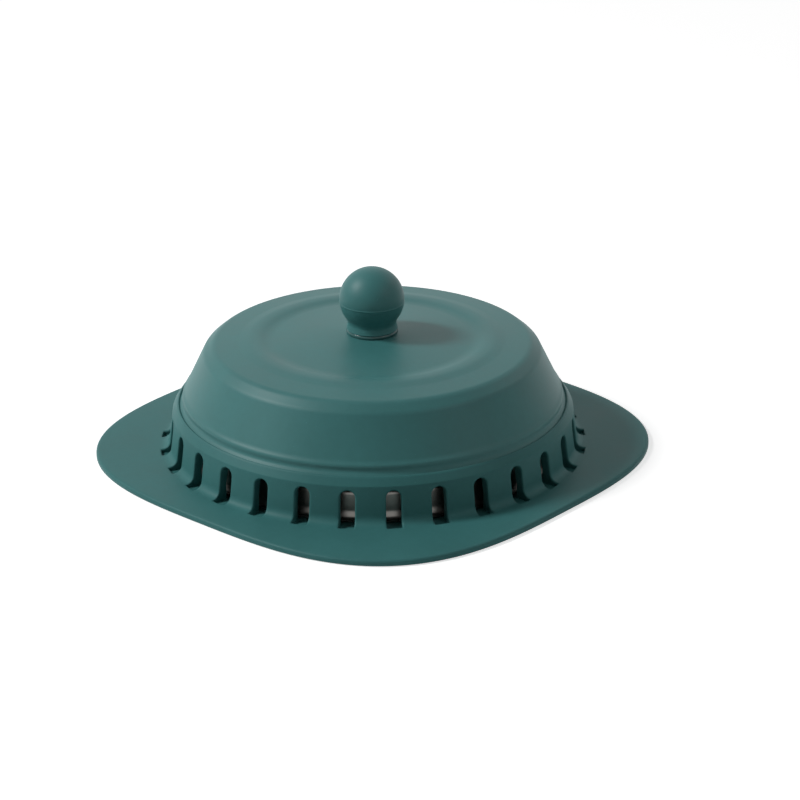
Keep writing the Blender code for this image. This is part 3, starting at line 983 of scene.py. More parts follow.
@dataclass
class Base:
    """The mat, its slotted collar and the strainer plate that lies inside it."""

    squareness: float = 3.1
    edge_thickness: float = 0.0018
    edge_round: float = 0.0008
    under_round: float = 0.00025
    foot_thickness: float = 0.00245
    web: float = 0.0006
    throat: float = 0.0436
    bore: float = 0.05785
    inside: float = 0.05955
    undercut_height: float = 0.00605
    ledge_height: float = 0.01305
    wall: float = 0.00305
    flare: float = 0.0015
    crease_height: float = 0.0136
    crease_round: float = 0.0012
    foot_round: float = 0.0046
    rim_inner: float = 0.058805
    rim_outer: float = 0.0595
    rim_fall: float = 0.0005
    rim_side_round: float = 0.001
    rim_top_round: float = 0.0008
    rim_dip_share: float = 0.8
    rebate: float = 0.0015
    slot_count: int = 29
    slot_first_turn: float = math.radians(6.97)
    slot_width: float = 0.00445
    slot_crown: float = 0.0123
    slot_floor: float = 0.0012
    slot_end: float = 0.0650
    slot_edge_round: float = 0.00045
    slot_edge_steps: int = 4
    ring_columns: int = 10
    side_rows: int = 15
    edge_steps: int = 5
    under_steps: int = 3
    seam_reach: float = 4e-6
    foot_fall_share: float = 0.7
    side_end_share: float = 1.4
    mat_shares: tuple[float, ...] = (0.0, 0.25, 0.5, 0.75, 0.93, 1.0)
    outer_shares: tuple[float, ...] = (0.0, 0.22, 0.44, 0.64, 0.82, 0.93)
    inner_shares: tuple[float, ...] = (0.35, 0.7, 1.0)
    strainer_hole: float = 0.0022
    strainer_hole_sides: int = 24
    strainer_first_ring: float = 0.011
    strainer_ring_pitch: float = 0.009
    strainer_hole_pitch: float = 0.012
    strainer_hole_margin: float = 0.002
    strainer_thickness: float = 0.0006
    strainer_rib_gap: float = 0.0003
    half_side: float = field(init=False)
    collar_top: float = field(init=False)

    def __post_init__(self) -> None:
        """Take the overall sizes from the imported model."""
        self.half_side = reach("base_mat")
        self.collar_top = top("base_mat")

    @property
    def foot(self) -> float:
        """Radius of the collar's outer wall at the mat."""
        return self.inside + self.wall

    @property
    def sector(self) -> float:
        """The turn that one slot and its piers take."""
        return 2 * math.pi / self.slot_count

    def build(self, shop: Workshop) -> None:
        """Make and issue the base's pieces."""
        shop.issue(self.moulding(shop), BASE_SILICONE, Body.BASE, "base_mat")
        shop.issue(self.strainer(shop), BRUSHED, Body.BASE, "strainer_plate")

    def edge_radius(self, turn: float, inset: float) -> float:
        """Distance from the axis to the mat's edge, or to a line inset from it."""
        spread = abs(math.cos(turn)) ** self.squareness + abs(math.sin(turn)) ** self.squareness
        return (self.half_side - inset) / spread ** (1 / self.squareness)

    def wall_point(self, height: float) -> float:
        """Radius of the straight outer wall at a height."""
        share = (height - self.foot_thickness) / (self.crease_height - self.foot_thickness)
        return blend(self.foot, self.foot - self.flare, share)

    def outer_rail(self) -> Rail:
        """The collar's outer wall from just under the crease to the mat's top.

        Returns:
            The wall.
        """
        high = self.crease_height - self.slot_edge_round
        beyond = self.foot + self.foot_round
        fall = blend(self.edge_thickness, self.foot_thickness, self.foot_fall_share)
        corners = [
            Corner(self.wall_point(high), high),
            Corner(self.foot, self.foot_thickness, self.foot_round),
            Corner(beyond, fall),
        ]
        return Rail(rounded(corners, closed=False, segments=10))

    def inner_rail(self) -> Rail:
        """The collar's inner wall from the ledge to the web.

        Returns:
            The wall.
        """
        points = [
            (self.bore, self.ledge_height),
            (self.inside, self.undercut_height),
            (self.inside, self.web),
        ]
        return Rail(points)

    def slot_stations(self, outer: Rail) -> list[SlotStation]:
        """Walk once round a slot's edge: up the right, over the arch, down the left and along the foot.

        Args:
            outer: the collar's outer wall.

        Returns:
            The stations in order.
        """
        half = self.slot_width / 2
        spring = self.slot_crown - half
        low = outer.length_where(self.slot_end, 0)
        high = outer.length_where(spring, 1)
        edge = self.sector / 2
        stations: list[SlotStation] = []
        for sign in (1, -1):
            for k in range(self.side_rows):
                share = k / self.side_rows if sign > 0 else 1 - k / self.side_rows
                place = blend(low, high, share)
                corner = share == 0
                stations.append(
                    SlotStation(
                        across=sign * half,
                        length=place,
                        side=Vector((sign, 1.0 if corner else 0.0)),
                        turn=sign * edge,
                        outer_length=blend(outer.length, 0, share),
                        inner_height=blend(self.slot_floor, spring, share),
                        inner_end=blend(self.web, self.ledge_height, share),
                        on_floor=corner,
                    )
                )
            if sign > 0:
                stations += self.arch_stations(outer, half, spring, edge)
        stations += self.foot_stations(outer, low, half, edge)
        return stations

    def arch_stations(self, outer: Rail, half: float, spring: float, edge: float) -> list[SlotStation]:
        """The stations over a slot's arch, from right to left.

        Args:
            outer: the collar's outer wall.
            half: half a slot's width.
            spring: the height at which the arch begins.
            edge: half a sector's turn.

        Returns:
            The stations in order.
        """
        made = []
        for k in range(self.ring_columns):
            arch = math.pi * k / self.ring_columns
            height = spring + half * math.sin(arch)
            made.append(
                SlotStation(
                    across=half * math.cos(arch),
                    length=outer.length_where(height, 1),
                    side=Vector((math.cos(arch), -math.sin(arch))),
                    turn=blend(edge, -edge, k / self.ring_columns),
                    outer_length=0.0,
                    inner_height=height,
                    inner_end=self.ledge_height,
                    on_floor=False,
                )
            )
        return made

    def foot_stations(self, outer: Rail, low: float, half: float, edge: float) -> list[SlotStation]:
        """The stations along a slot's foot, from left to right.

        Args:
            outer: the collar's outer wall.
            low: the foot's length along the outer wall.
            half: half a slot's width.
            edge: half a sector's turn.

        Returns:
            The stations in order.
        """
        made = []
        for k in range(self.ring_columns):
            share = k / self.ring_columns
            made.append(
                SlotStation(
                    across=blend(-half, half, share),
                    length=low,
                    side=Vector((-1.0 if k == 0 else 0.0, 1.0)),
                    turn=blend(-edge, edge, share),
                    outer_length=outer.length,
                    inner_height=self.slot_floor,
                    inner_end=self.web,
                    on_floor=True,
                )
            )
        return made

    @staticmethod
    def on_wall(radius: float, across: float, height: float) -> Vector:
        """A point of a wall of revolution, given its distance across the slot's middle plane."""
        return Vector((math.sqrt(radius**2 - across**2), across, height))

    def edge_row(self, outer: Rail, stations: Sequence[SlotStation], turn: float) -> list[Vector]:
        """One row of a slot's rounded edge, from the wall (turn 0) into the slot (a right angle).

        Args:
            outer: the collar's outer wall.
            stations: the slot's stations.
            turn: how far round the edge the row lies.

        Returns:
            The row's points.
        """
        row = []
        for station in stations:
            place = outer.at(station.length)
            out = outer.outward(station.length)
            sideways = station.side * self.slot_edge_round * (1 - math.sin(turn))
            inwards = self.slot_edge_round * (1 - math.cos(turn))
            if sideways.y:
                place = outer.at(min(outer.length, station.length + sideways.y))
            radius = place.x - out.x * inwards
            height = place.y - out.y * inwards
            row.append(self.on_wall(radius, station.across + sideways.x, height))
        return row

    def sector_rows(self) -> list[list[Vector]]:
        """Rows of points from the sector's outer border, through its slot, to its inner border.

        Returns:
            The rows in order.
        """
        outer = self.outer_rail()
        inner = self.inner_rail()
        stations = self.slot_stations(outer)
        turns = quarter(self.slot_edge_steps)
        rounding = [self.edge_row(outer, stations, turn) for turn in turns]
        rows = self.outer_rows(outer, stations)
        rows += rounding
        inner_edge = []
        for station in stations:
            radius = inner.at(inner.length_where(station.inner_height, 1)).x
            inner_edge.append(self.on_wall(radius, station.across, station.inner_height))
        rows.append(self.middle_row(stations, rounding[-1], inner_edge))
        rows.append(inner_edge)
        rows += self.inner_rows(inner, stations)
        return rows

    def outer_rows(self, outer: Rail, stations: Sequence[SlotStation]) -> list[list[Vector]]:
        """Rows over the outer wall, from the sector's border towards the slot.

        Args:
            outer: the collar's outer wall.
            stations: the slot's stations.

        Returns:
            The rows in order.
        """
        rows = []
        for share in self.outer_shares:
            row = []
            for station in stations:
                near = station.length + station.side.y * self.slot_edge_round
                length = blend(station.outer_length, min(outer.length, near), share)
                place = outer.at(length)
                across = station.across + station.side.x * self.slot_edge_round
                turn = blend(station.turn, math.asin(across / place.x), share)
                row.append(polar(place.x, turn, place.y))
            rows.append(row)
        return rows

    def middle_row(
        self, stations: Sequence[SlotStation], start: Sequence[Vector], end: Sequence[Vector]
    ) -> list[Vector]:
        """The row half way through a slot, which drops to its floor along the foot.

        Args:
            stations: the slot's stations.
            start: the row where the rounded edge ends.
            end: the row on the inner wall.

        Returns:
            The row's points.
        """
        row = []
        for station, near, far in zip(stations, start, end):
            if station.on_floor:
                row.append(Vector((near.x, near.y, self.slot_floor)))
            else:
                row.append(near.lerp(far, 0.5))
        return row

    def inner_rows(self, inner: Rail, stations: Sequence[SlotStation]) -> list[list[Vector]]:
        """Rows over the inner wall, from the slot to the sector's border.

        Args:
            inner: the collar's inner wall.
            stations: the slot's stations.

        Returns:
            The rows in order.
        """
        rows = []
        for share in self.inner_shares:
            row = []
            for station in stations:
                height = blend(station.inner_height, station.inner_end, share)
                radius = inner.at(inner.length_where(height, 1)).x
                turn = blend(math.asin(station.across / radius), station.turn, share)
                row.append(polar(radius, turn, height))
            rows.append(row)
        return rows

    def rim_outline(self, outer: Rail) -> list[Point]:
        """The collar's top, from the slots' border over the band, the rim and the seat to the ledge.

        Args:
            outer: the collar's outer wall.

        Returns:
            The outline's points.
        """
        seat = self.collar_top - self.rebate
        start = outer.at(0.0)
        corners = [
            Corner(start.x, start.y),
            Corner(self.foot - self.flare, self.crease_height, self.crease_round),
            Corner(self.rim_outer + self.rim_fall / 2, self.collar_top - self.rim_fall, self.rim_side_round),
            Corner(self.rim_outer - self.rim_fall / 2, self.collar_top, self.rim_top_round),
            Corner(self.rim_inner, self.collar_top - self.rim_fall * self.rim_dip_share, CRISP),
            Corner(self.rim_inner, seat, CRISP),
            Corner(self.bore, seat, FINE),
            Corner(self.bore, self.ledge_height),
        ]
        return rounded(corners, closed=False, segments=5)

    def mat_rows(self, outer: Rail, turns: Sequence[float]) -> list[list[Vector]]:
        """Rows over the mat: out along its top, round its edge, back along its underside, up the throat.

        Args:
            outer: the collar's outer wall.
            turns: the turns of a row's points.

        Returns:
            The rows in order.
        """
        foot = outer.at(outer.length)
        rows = []
        for share in self.mat_shares:
            row = []
            for turn in turns:
                far = self.edge_radius(turn, self.edge_round)
                row.append(polar(blend(foot.x, far, share), turn, blend(foot.y, self.edge_thickness, share)))
            rows.append(row)
        profile = [
            (self.edge_round * (1 - math.sin(a)), self.edge_thickness - self.edge_round * (1 - math.cos(a)))
            for a in quarter(self.edge_steps, 1)
        ]
        profile.append((0.0, self.under_round * self.side_end_share))
        profile += [
            (self.under_round * (1 - math.cos(a)), self.under_round * (1 - math.sin(a)))
            for a in quarter(self.under_steps)
        ]
        profile.append((self.under_round * 2, 0.0))
        for inset, height in profile:
            rows.append([polar(self.edge_radius(turn, inset), turn, height) for turn in turns])
        corners = [
            Corner(blend(self.throat, self.half_side, 0.5), 0.0),
            Corner(self.throat, 0.0, FINE),
            Corner(self.throat, self.web, FINE),
            Corner(self.inside, self.web),
        ]
        throat = rounded(corners, closed=False, segments=3)
        rows += [round_row(radius, height, turns) for radius, height in throat]
        return rows

    def moulding(self, shop: Workshop) -> bpy.types.Mesh:
        """The mat and its collar as one closed skin.

        Args:
            shop: where the material comes from.

        Returns:
            The closed mesh.
        """
        one = bmesh.new()
        skin(one, self.sector_rows())
        slot_mesh = welded(one, "collar_sector")
        inputs = {
            "Count": self.slot_count,
            "First Turn": self.slot_first_turn,
            "Material": shop.materials[BASE_SILICONE],
        }
        collar = run_tree(slot_mesh, ring_tree(), "collar_slots", inputs)
        outer = self.outer_rail()
        first = self.slot_first_turn - self.sector / 2
        turns = around(self.slot_count * self.ring_columns, first)
        whole = bmesh.new()
        whole.from_mesh(collar)
        skin(whole, [round_row(radius, height, turns) for radius, height in self.rim_outline(outer)])
        skin(whole, self.mat_rows(outer, turns))
        bmesh.ops.remove_doubles(whole, verts=whole.verts, dist=self.seam_reach)
        return welded(whole, "mat_and_collar", crease=40)

    def strainer_places(self) -> list[Vector]:
        """The centres of the strainer's holes, ring by ring.

        Returns:
            The centres.
        """
        limit = self.throat - self.strainer_hole - self.strainer_hole_margin
        places = []
        ring = self.strainer_first_ring
        while ring <= limit:
            count = math.floor(2 * math.pi * ring / self.strainer_hole_pitch)
            places += [polar(ring, turn, 0) for turn in around(count)]
            ring += self.strainer_ring_pitch
        return places

    def strainer(self, shop: Workshop) -> bpy.types.Mesh:
        """The perforated disc and the rib that centres it in the throat.

        Args:
            shop: where the material comes from.

        Returns:
            The mesh.
        """
        centres = bpy.data.meshes.new("strainer_holes")
        centres.from_pydata(self.strainer_places(), [], [])
        inputs = {
            "Disc Radius": reach("strainer_plate"),
            "Hole Radius": self.strainer_hole,
            "Thickness": self.strainer_thickness,
            "Hole Sides": self.strainer_hole_sides,
            "Material": shop.materials[BRUSHED],
        }
        disc = run_tree(centres, perforation_tree(), "strainer_disc", inputs)
        disc.transform(Matrix.Translation((0, 0, top("strainer_plate") - self.strainer_thickness)))
        low = bottom("strainer_plate")
        high = top("strainer_plate") - self.strainer_thickness / 2
        outer = self.throat - self.strainer_rib_gap
        inner = outer - self.strainer_thickness
        corners = [
            Corner(outer, high),
            Corner(outer, low, FINE),
            Corner(inner, low, FINE),
            Corner(inner, high),
        ]
        whole = bmesh.new()
        whole.from_mesh(disc)
        whole.from_mesh(turned("strainer_rib", rounded(corners, segments=3), DISC_SIDES))
        return welded(whole, "strainer_disc_and_rib", crease=30)


@dataclass
class Lid:
    """The dome cap and the bush that guides the stem through its crown."""

    cap_columns: int = 288
    wall: float = 0.0024
    spigot: float = 0.05755
    spigot_depth: float = 0.00065
    foot: float = 0.0588
    foot_thickness: float = 0.0008
    waist: float = 0.0578
    waist_height: float = 0.0019
    lip: float = 0.0580
    lip_height: float = 0.00365
    lip_round: float = 0.0014
    lip_top: float = 0.00465
    lip_top_round: float = 0.004
    lip_step: float = 0.0009
    shoulder: float = 0.0511
    shoulder_height: float = 0.01705
    shoulder_round: float = 0.0034
    band_width: float = 0.0030
    band_rise: float = 0.0025
    band_round: float = 0.0035
    ring_radius: float = 0.0358
    ring_crest: float = 0.0024
    ring_flank: float = 0.0034
    ring_rise: float = 0.0006
    ring_height: float = 0.02095
    ring_round: float = 0.012
    inner_foot_round: float = 0.001
    inner_shoulder_round: float = 0.003
    inner_band_round: float = 0.002
    inner_ring_round: float = 0.01
    crown_hole: float = 0.0060
    crown_land: float = 0.0045
    bush_bore: float = 0.0027
    bush_radius: float = 0.0057
    bush_rim_height: float = 0.0007
    bush_rim_gap: float = 0.00004
    bush_rim_extra: float = 0.0002
    bush_rim_round: float = 0.0004
    bush_columns: int = 96
    groove_radius: float = 0.0047
    groove_half: float = 0.0011
    oring_drop: float = 0.0026
    seat: float = field(init=False)
    crown: float = field(init=False)

    def __post_init__(self) -> None:
        """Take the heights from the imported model."""
        self.seat = bottom("dome_cap") + self.spigot_depth
        self.crown = top("dome_cap")

    def build(self, shop: Workshop) -> None:
        """Make and issue the lid's pieces.

        Args:
            shop: where the pieces are finished.
        """
        dome = turned("dome", self.cap_outline(), self.cap_columns, crease=42)
        shop.issue(dome, SILICONE, Body.LID, "dome_cap")
        bush = turned("stem_bush", self.bush_outline(), self.bush_columns)
        shop.issue(bush, ACETAL, Body.LID, "guide_bush")
        nut = hexagon_nut("bush_ring_nut", "bush_nut", self.crown_hole)
        shop.issue(nut, ACETAL, Body.LID, "bush_nut")
        shop.dress("bush_washer", BRUSHED)
        shop.dress("stem_oring", RUBBER)

    def cap_outline(self) -> list[Point]:
        """The cap's outline: crown, ring, shoulder, cone, lip, foot, spigot and the inside.

        Returns:
            The outline's points.
        """
        seat = self.seat
        band = self.shoulder - self.band_width
        band_height = seat + self.shoulder_height + self.band_rise
        crest = seat + self.ring_height
        side = crest - self.ring_rise
        inner = self.ring_radius - self.ring_crest / 2
        outer = self.ring_radius + self.ring_crest / 2
        bore = self.spigot - self.wall
        inner_shoulder = seat + self.shoulder_height - self.wall / 2
        soft = self.ring_round
        return rounded(
            [
                Corner(self.crown_hole, self.crown, SMALL),
                Corner(inner - self.ring_flank, side, soft),
                Corner(inner, crest, soft),
                Corner(outer, crest, soft),
                Corner(outer + self.ring_flank, side, soft),
                Corner(band, band_height, self.band_round),
                Corner(self.shoulder, seat + self.shoulder_height, self.shoulder_round),
                Corner(self.lip - self.lip_step, seat + self.lip_top, self.lip_top_round),
                Corner(self.lip, seat + self.lip_height, self.lip_round),
                Corner(self.waist, seat + self.waist_height, self.lip_round),
                Corner(self.foot, seat + self.foot_thickness, FINE),
                Corner(self.foot, seat, CRISP),
                Corner(self.spigot, seat, CRISP),
                Corner(self.spigot, seat - self.spigot_depth, FINE),
                Corner(bore, seat - self.spigot_depth, FINE),
                Corner(bore, seat + self.lip_top, self.inner_foot_round),
                Corner(self.shoulder - self.wall, inner_shoulder, self.inner_shoulder_round),
                Corner(band - self.wall / 2, band_height - self.wall, self.inner_band_round),
                Corner(self.ring_radius, side - self.wall, self.inner_ring_round),
                Corner(self.crown_hole + self.crown_land, self.crown - self.wall),
                Corner(self.crown_hole, self.crown - self.wall, SMALL),
            ],
            segments=6,
        )

    def bush_outline(self) -> list[Point]:
        """The bush's outline: its rim on the crown, its tube, and the groove in its bore.

        Returns:
            The outline's points.
        """
        rim = reach("guide_bush") + self.bush_rim_extra
        low = bottom("guide_bush")
        high = top("guide_bush")
        seat = self.crown + self.bush_rim_gap
        groove = high - self.bush_rim_height - self.oring_drop
        return rounded(
            [
                Corner(self.bush_bore, high, FINE),
                Corner(rim - self.bush_rim_extra, high, self.bush_rim_round),
                Corner(rim, (high + seat) / 2, self.bush_rim_round),
                Corner(rim, seat, CRISP),
                Corner(self.bush_radius, seat, CRISP),
                Corner(self.bush_radius, low, SMALL),
                Corner(self.bush_bore, low, FINE),
                Corner(self.bush_bore, groove - self.groove_half),
                Corner(self.groove_radius, groove - self.groove_half),
                Corner(self.groove_radius, groove + self.groove_half),
                Corner(self.bush_bore, groove + self.groove_half),
            ]
        )


def hexagon_nut(name: str, node: str, bore: float) -> bpy.types.Mesh:
    """A hexagon nut with chamfered corners and a countersunk bore, in a packed nut's place.

    Args:
        name: the new mesh's name.
        node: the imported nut, whose first corner lies on X.
        bore: the radius of its hole.

    Returns:
        The closed mesh.
    """
    low = bottom(node)
    high = top(node)
    corner = reach(node)
    flat = corner * math.cos(math.pi / 6)
    land = flat * NUT_LAND_SHARE
    sink = min(SMALL, (land - bore) / 4)
    turns = around(NUT_COLUMNS)

    def hexagon(turn: float) -> float:
        """Radius of the hexagon's side at a turn."""
        return flat / math.cos((turn % (math.pi / 3)) - math.pi / 6)

    upper = [(bore, high - sink), (bore + sink, high), (land, high)]
    lower = [(land, low), (bore + sink, low), (bore, low + sink)]
    rows = [round_row(radius, height, turns) for radius, height in upper]
    rows.append([polar(hexagon(t), t, high - (hexagon(t) - land) * NUT_SLOPE) for t in turns])
    rows.append([polar(hexagon(t), t, low + (hexagon(t) - land) * NUT_SLOPE) for t in turns])
    rows += [round_row(radius, height, turns) for radius, height in lower]
    shape = bmesh.new()
    skin(shape, rows, closed=True)
    return welded(shape, name, crease=22)


@dataclass
class Valve:
    """What the knob lifts: stem, nuts, washers, bell, gasket and the knob itself."""

    sheet: float = 0.0006
    bell_columns: int = 288
    bell_wall: float = 0.0558
    bell_lean: float = 0.0003
    bell_shoulder: float = 0.0015
    flare_height: float = 0.0026
    flare_steps: int = 10
    fastener_bore: float = 0.0028
    gasket_columns: int = 192
    gasket_width: float = 0.0060
    gasket_chamfer: float = 0.0006
    stem: float = 0.0025
    stem_columns: int = 36
    thread_pitch: float = 0.0008
    thread_depth: float = 0.0003
    thread_rows: int = 8
    tip_chamfer: float = 0.0004
    bolt_head: float = 0.0042
    bolt_head_height: float = 0.0035
    bolt_head_round: float = 0.0006
    recess: float = 0.002
    recess_depth: float = 0.0012
    knob_columns: int = 128
    ball: float = 0.0098
    ball_rows: int = 46
    neck: float = 0.00735
    neck_flare: float = 0.00045
    cove: float = 0.003
    cove_rows: int = 12
    seam_rise: float = 0.0001
    seam_width: float = 0.00028
    seam_drop: float = math.radians(4.7)
    seam_row_share: float = 0.25
    seam_rows: int = 8
    seam_clearance_share: float = 2.4
    foot_gap: float = 0.00003
    foot_round: float = 0.00015
    pocket: float = 0.0043
    pocket_depth: float = 0.0108
    rim: float = field(init=False)

    def __post_init__(self) -> None:
        """Take the bell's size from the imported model."""
        self.rim = reach("bell")

    def build(self, shop: Workshop) -> None:
        """Make and issue the valve's pieces.

        Args:
            shop: where the pieces are finished.
        """
        knob = turned("ball_knob", self.knob_outline(), self.knob_columns)
        bell = turned("steel_bell", self.bell_outline(), self.bell_columns)
        gasket = turned("bell_seal", self.gasket_outline(), self.gasket_columns)
        shop.issue(knob, SILICONE, Body.VALVE, "knob")
        # The bell's steel carries painted shade: its colour is darkened so that it looks shaded inside the
        # collar.
        shop.issue(bell, POLISHED, Body.VALVE, "bell")
        shop.issue(gasket, RUBBER, Body.VALVE, "bell_gasket")
        shop.issue(self.stem_mesh(), BRUSHED, Body.VALVE, "stem_bolt")
        for name, node in (("upper_stem_nut", "stop_nut"), ("lower_stem_nut", "clamp_nut")):
            nut = hexagon_nut(name, node, self.fastener_bore)
            shop.issue(nut, BRUSHED, Body.VALVE, node)
        shop.dress("knob_insert", BRASS)
        shop.dress("seal_washer", RUBBER)
        shop.dress("head_washer", BRUSHED)

    @property
    def flare_top(self) -> float:
        """The height at which the bell's skirt begins to turn out."""
        return bottom("bell") + self.sheet + self.flare_height

    def flare(self, reach_out: float, drop: float) -> list[Point]:
        """The curve by which the bell's skirt turns out to its rim, from the skirt downwards.

        Args:
            reach_out: how far the curve turns out.
            drop: how far it comes down.

        Returns:
            The curve's points.
        """
        turns = quarter(self.flare_steps)
        high = self.flare_top
        return [(self.rim - reach_out * math.cos(turn), high - drop * math.sin(turn)) for turn in turns]

    def bell_outline(self) -> list[Point]:
        """The bell's outline: crown, rounded shoulder, skirt, flared rim and the inside.

        Returns:
            The outline's points.
        """
        high = top("bell")
        crown = self.bell_wall - self.bell_lean
        outside = [
            Corner(self.fastener_bore, high),
            Corner(crown, high, self.bell_shoulder),
            Corner(self.bell_wall, self.flare_top),
        ]
        inside = [
            Corner(self.bell_wall - self.sheet, self.flare_top),
            Corner(crown - self.sheet, high - self.sheet, self.bell_shoulder - self.sheet),
            Corner(self.fastener_bore, high - self.sheet),
        ]
        reach_out = self.rim - self.bell_wall
        outer_flare = self.flare(reach_out, self.flare_height)
        inner_flare = self.flare(reach_out + self.sheet, self.flare_height + self.sheet)
        return [
            *rounded(outside, closed=False, segments=10)[:-1],
            *outer_flare,
            *reversed(inner_flare),
            *rounded(inside, closed=False, segments=8)[1:],
        ]

    def gasket_outline(self) -> list[Point]:
        """The gasket's outline, with its two sealing edges rounded.

        Returns:
            The outline's points.
        """
        outer = reach("bell_gasket")
        inner = outer - self.gasket_width
        low = bottom("bell_gasket")
        high = top("bell_gasket")
        edge = self.gasket_chamfer
        return rounded(
            [
                Corner(outer, high, edge / 2),
                Corner(outer, low + edge, edge / 3),
                Corner(outer - edge, low, edge / 3),
                Corner(inner + edge, low, edge / 3),
                Corner(inner, low + edge, edge / 3),
                Corner(inner, high, edge / 2),
            ]
        )

    def stem_mesh(self) -> bpy.types.Mesh:
        """The bolt with a rolled thread along its stem and a round head.

        Returns:
            The closed mesh.
        """
        low = bottom("stem_bolt")
        seat = low + self.bolt_head_height
        high = top("stem_bolt")
        turns = around(self.stem_columns)
        recess_floor = low + self.recess_depth
        recess = [(0, recess_floor), (self.recess, recess_floor), (self.recess, low)]
        head = [
            Corner(self.recess, low),
            Corner(self.bolt_head, low, self.bolt_head_round),
            Corner(self.bolt_head, seat, FINE),
            Corner(self.stem, seat),
        ]
        outline = recess + rounded(head, closed=False)[1:]
        rows = [round_row(radius, height, turns) for radius, height in outline]
        count = math.ceil((high - seat) / self.thread_pitch * self.thread_rows)
        for k in range(1, count):
            height = blend(seat, high - self.tip_chamfer, k / count)
            rows.append([polar(self.thread_radius(height, turn), turn, height) for turn in turns])
        tip = self.stem - self.thread_depth - self.tip_chamfer
        rows += [round_row(radius, high, turns) for radius in (tip, 0)]
        shape = bmesh.new()
        skin(shape, rows)
        return welded(shape, "threaded_stem", crease=50)

    def thread_radius(self, height: float, turn: float) -> float:
        """Radius of the threaded stem, a triangle wave that climbs with the turn."""
        phase = (height / self.thread_pitch - turn / (2 * math.pi)) % 1
        return self.stem - self.thread_depth * (1 - abs(2 * phase - 1))

    def knob_outline(self) -> list[Point]:
        """The knob's outline: a ball with its moulding seam, a coved neck and the pocket for its insert.

        Returns:
            The outline's points.
        """
        foot = top("guide_bush") + self.foot_gap
        centre = top("knob") - self.ball
        cove_centre = self.neck + self.cove
        touch = math.asin(cove_centre / (self.ball + self.cove))
        cove_level = centre - (self.ball + self.cove) * math.cos(touch)
        turns = [(math.pi - touch) * k / self.ball_rows for k in range(1, self.ball_rows + 1)]
        seam = math.pi / 2 + self.seam_drop
        width = self.seam_width / self.ball
        steps = range(-self.seam_rows, self.seam_rows + 1)
        fine = [seam + width * self.seam_row_share * k for k in steps]
        turns = sorted([t for t in turns if abs(t - seam) > width * self.seam_clearance_share] + fine)
        ball = []
        for turn in turns:
            off = (turn - seam) / width
            radius = self.ball + self.seam_rise * math.exp(-2 * off**2)
            ball.append((radius * math.sin(turn), centre + radius * math.cos(turn)))
        cove = []
        for k in range(1, self.cove_rows + 1):
            turn = blend(touch, math.pi / 2, k / self.cove_rows)
            cove.append((cove_centre - self.cove * math.sin(turn), cove_level + self.cove * math.cos(turn)))
        neck = rounded(
            [
                Corner(self.neck, cove_level),
                Corner(self.neck + self.neck_flare, foot, self.foot_round),
                Corner(self.pocket, foot, SMALL),
                Corner(self.pocket, foot + self.pocket_depth),
                Corner(0, foot + self.pocket_depth),
            ],
            closed=False,
            segments=6,
        )
        return [(0, top("knob")), *ball, *cove, *neck[1:]]


@dataclass(frozen=True)
class ViewPoint:
    """The photograph's camera: a long lens a little above the stopper, looking at the mat's near corner."""

    distance: float = 0.836
    height_angle: float = math.radians(23.7518)
    side_turn: float = math.radians(42.055)
    yaw: float = math.radians(0.6191)
    pitch: float = math.radians(-0.9318)
    roll: float = math.radians(0.3783)
    focal_mm: float = 122.24
    sensor_mm: float = 36.0
    nearest: float = 0.05
    farthest: float = 20.0

    def matrix(self) -> Matrix:
        """The camera's place and aim.

        Returns:
            The camera's matrix.
        """
        place = Vector((0, -math.cos(self.height_angle), math.sin(self.height_angle))) * self.distance
        dip = self.height_angle + self.pitch
        ahead = Vector(
            (math.sin(self.yaw) * math.cos(dip), math.cos(self.yaw) * math.cos(dip), -math.sin(dip))
        )
        level = Vector((math.cos(self.yaw), -math.sin(self.yaw), 0))
        upright = level.cross(ahead)
        across = level * math.cos(self.roll) - upright * math.sin(self.roll)
        up = level * math.sin(self.roll) + upright * math.cos(self.roll)
        aim = Matrix(
            (
                (across.x, up.x, -ahead.x, place.x),
                (across.y, up.y, -ahead.y, place.y),
                (across.z, up.z, -ahead.z, place.z),
                (0, 0, 0, 1),
            )
        )
        return Matrix.Rotation(self.side_turn, 4, "Z") @ aim

    def build(self) -> None:
        """Create the camera."""
        lens = bpy.data.cameras.new("photo_camera")
        lens.lens = self.focal_mm
        lens.sensor_width = self.sensor_mm
        lens.clip_start = self.nearest
        lens.clip_end = self.farthest
        camera = placed("photo_camera", lens)
        camera.matrix_world = self.matrix()
        bpy.context.scene.camera = camera


@dataclass(frozen=True)
class Lamp:
    """One soft box: its turn from the camera's side in degrees, its rise above the floor, size and power."""

    title: str
    turn: float
    rise: float
    size: float
    power: float
    distance: float = 1.3


LAMPS = (
    Lamp("key_box", turn=-90, rise=45, size=0.25, power=8.9),
    Lamp("side_box", turn=-75, rise=35, size=0.6, power=2.6),
    Lamp("front_fill", turn=60, rise=35, size=0.6, power=1.3),
    Lamp("rear_fill", turn=120, rise=35, size=0.6, power=0.9),
    Lamp("rear_box", turn=180, rise=35, size=0.6, power=0.3),
)


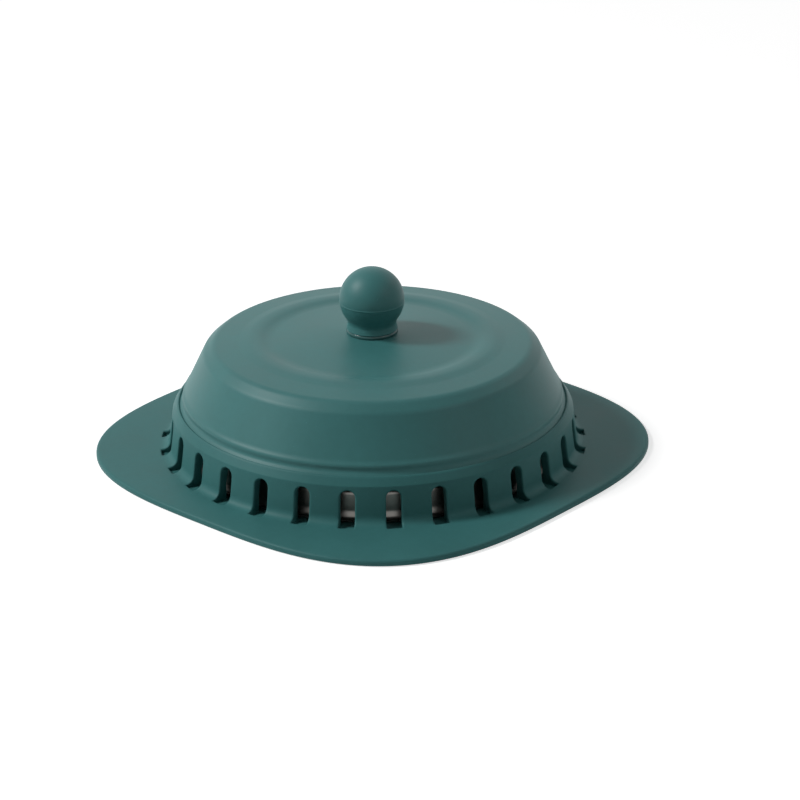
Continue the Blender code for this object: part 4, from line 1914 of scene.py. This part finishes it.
@dataclass(frozen=True)
class Studio:
    """A white floor and surround that keep the object's shadow, under the soft boxes."""

    floor_size: float = 6.0
    floor_level: float = -0.0002
    floor_colour: float = 0.80
    floor_lift: float = 0.67
    floor_roughness: float = 0.9
    fade_start: float = 0.3
    fade_end: float = 0.9
    surround: float = 0.03

    def build(self, view: ViewPoint) -> None:
        """Set up the floor, the surround and the lamps.

        Args:
            view: where the photograph is taken from.
        """
        self._floor()
        self._world()
        for lamp in LAMPS:
            self._lamp(lamp, view)
        bpy.context.scene.view_settings.view_transform = "Standard"

    @staticmethod
    def _seen(tree: Tree) -> bpy.types.NodeSocket:
        """1 for what the camera, a mirror or a clear body shows, 0 for light on the object.

        Args:
            tree: the material's or the surround's tree.

        Returns:
            The value's socket.
        """
        path = tree.add("ShaderNodeLightPath")
        direct = tree.number("MAXIMUM", path.outputs["Is Camera Ray"], path.outputs["Is Glossy Ray"])
        return tree.number("MAXIMUM", direct, path.outputs["Is Transmission Ray"])

    def _floor(self) -> None:
        """A pale floor, lifted to white where it is seen but not where it lights the object.

        Far from the object the lift is full and the pale colour fades out, so that the floor meets the
        surround without an edge when it is seen from low down.
        """
        shape = bmesh.new()
        bmesh.ops.create_grid(shape, x_segments=1, y_segments=1, size=self.floor_size / 2)
        bmesh.ops.translate(shape, verts=shape.verts, vec=(0, 0, self.floor_level))
        mesh = bpy.data.meshes.new("studio_floor")
        shape.to_mesh(mesh)
        shape.free()
        made, tree, shader, place = start_material("Studio floor")
        away = tree.feed(tree.add("ShaderNodeVectorMath", operation="LENGTH"), Vector=place)
        fade = tree.make(
            "ShaderNodeMapRange",
            Value=away.outputs["Value"],
            From_Min=self.fade_start,
            From_Max=self.fade_end,
        )
        level = tree.spread(fade.outputs["Result"], self.floor_colour, 0.0)
        full = tree.spread(fade.outputs["Result"], self.floor_lift, 1.0)
        tree.feed(
            shader,
            Base_Color=tree.make("ShaderNodeCombineColor", Red=level, Green=level, Blue=level).outputs[0],
            Roughness=self.floor_roughness,
            Specular_IOR_Level=0.0,
            Emission_Color=WHITE,
            Emission_Strength=tree.number("MULTIPLY", self._seen(tree), full),
        )
        mesh.materials.append(made)
        placed("studio_floor", mesh)

    def _world(self) -> None:
        """A surround that is white where it is seen and a plain grey where it lights the object."""
        world = bpy.data.worlds.new("Studio surround")
        world.use_nodes = True
        bpy.context.scene.world = world
        tree = Tree(world.node_tree)
        background = world.node_tree.nodes["Background"]
        tree.feed(background, Color=WHITE, Strength=tree.spread(self._seen(tree), self.surround, 1.0))

    @staticmethod
    def _lamp(lamp: Lamp, view: ViewPoint) -> None:
        """Hang one soft box and aim it at the stopper.

        Args:
            lamp: the soft box's values.
            view: the camera, from whose side its turn counts.
        """
        light = bpy.data.lights.new(lamp.title, "AREA")
        light.shape = "DISK"
        light.size = lamp.size
        light.energy = lamp.power
        holder = placed(lamp.title, light)
        turn = view.side_turn + math.radians(lamp.turn - 90)
        rise = math.radians(lamp.rise)
        place = polar(lamp.distance * math.cos(rise), turn, lamp.distance * math.sin(rise))
        holder.location = place
        holder.rotation_euler = (-place).to_track_quat("-Z", "Y").to_euler()


def main() -> None:
    """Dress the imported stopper, light it and aim the camera."""
    logging.basicConfig(level=logging.INFO, format="%(name)s: %(message)s")
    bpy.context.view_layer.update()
    shop = Workshop()
    for assembly in (Base(), Lid(), Valve()):
        assembly.build(shop)
    view = ViewPoint()
    view.build()
    Studio().build(view)


if __name__ == "__main__":
    main()
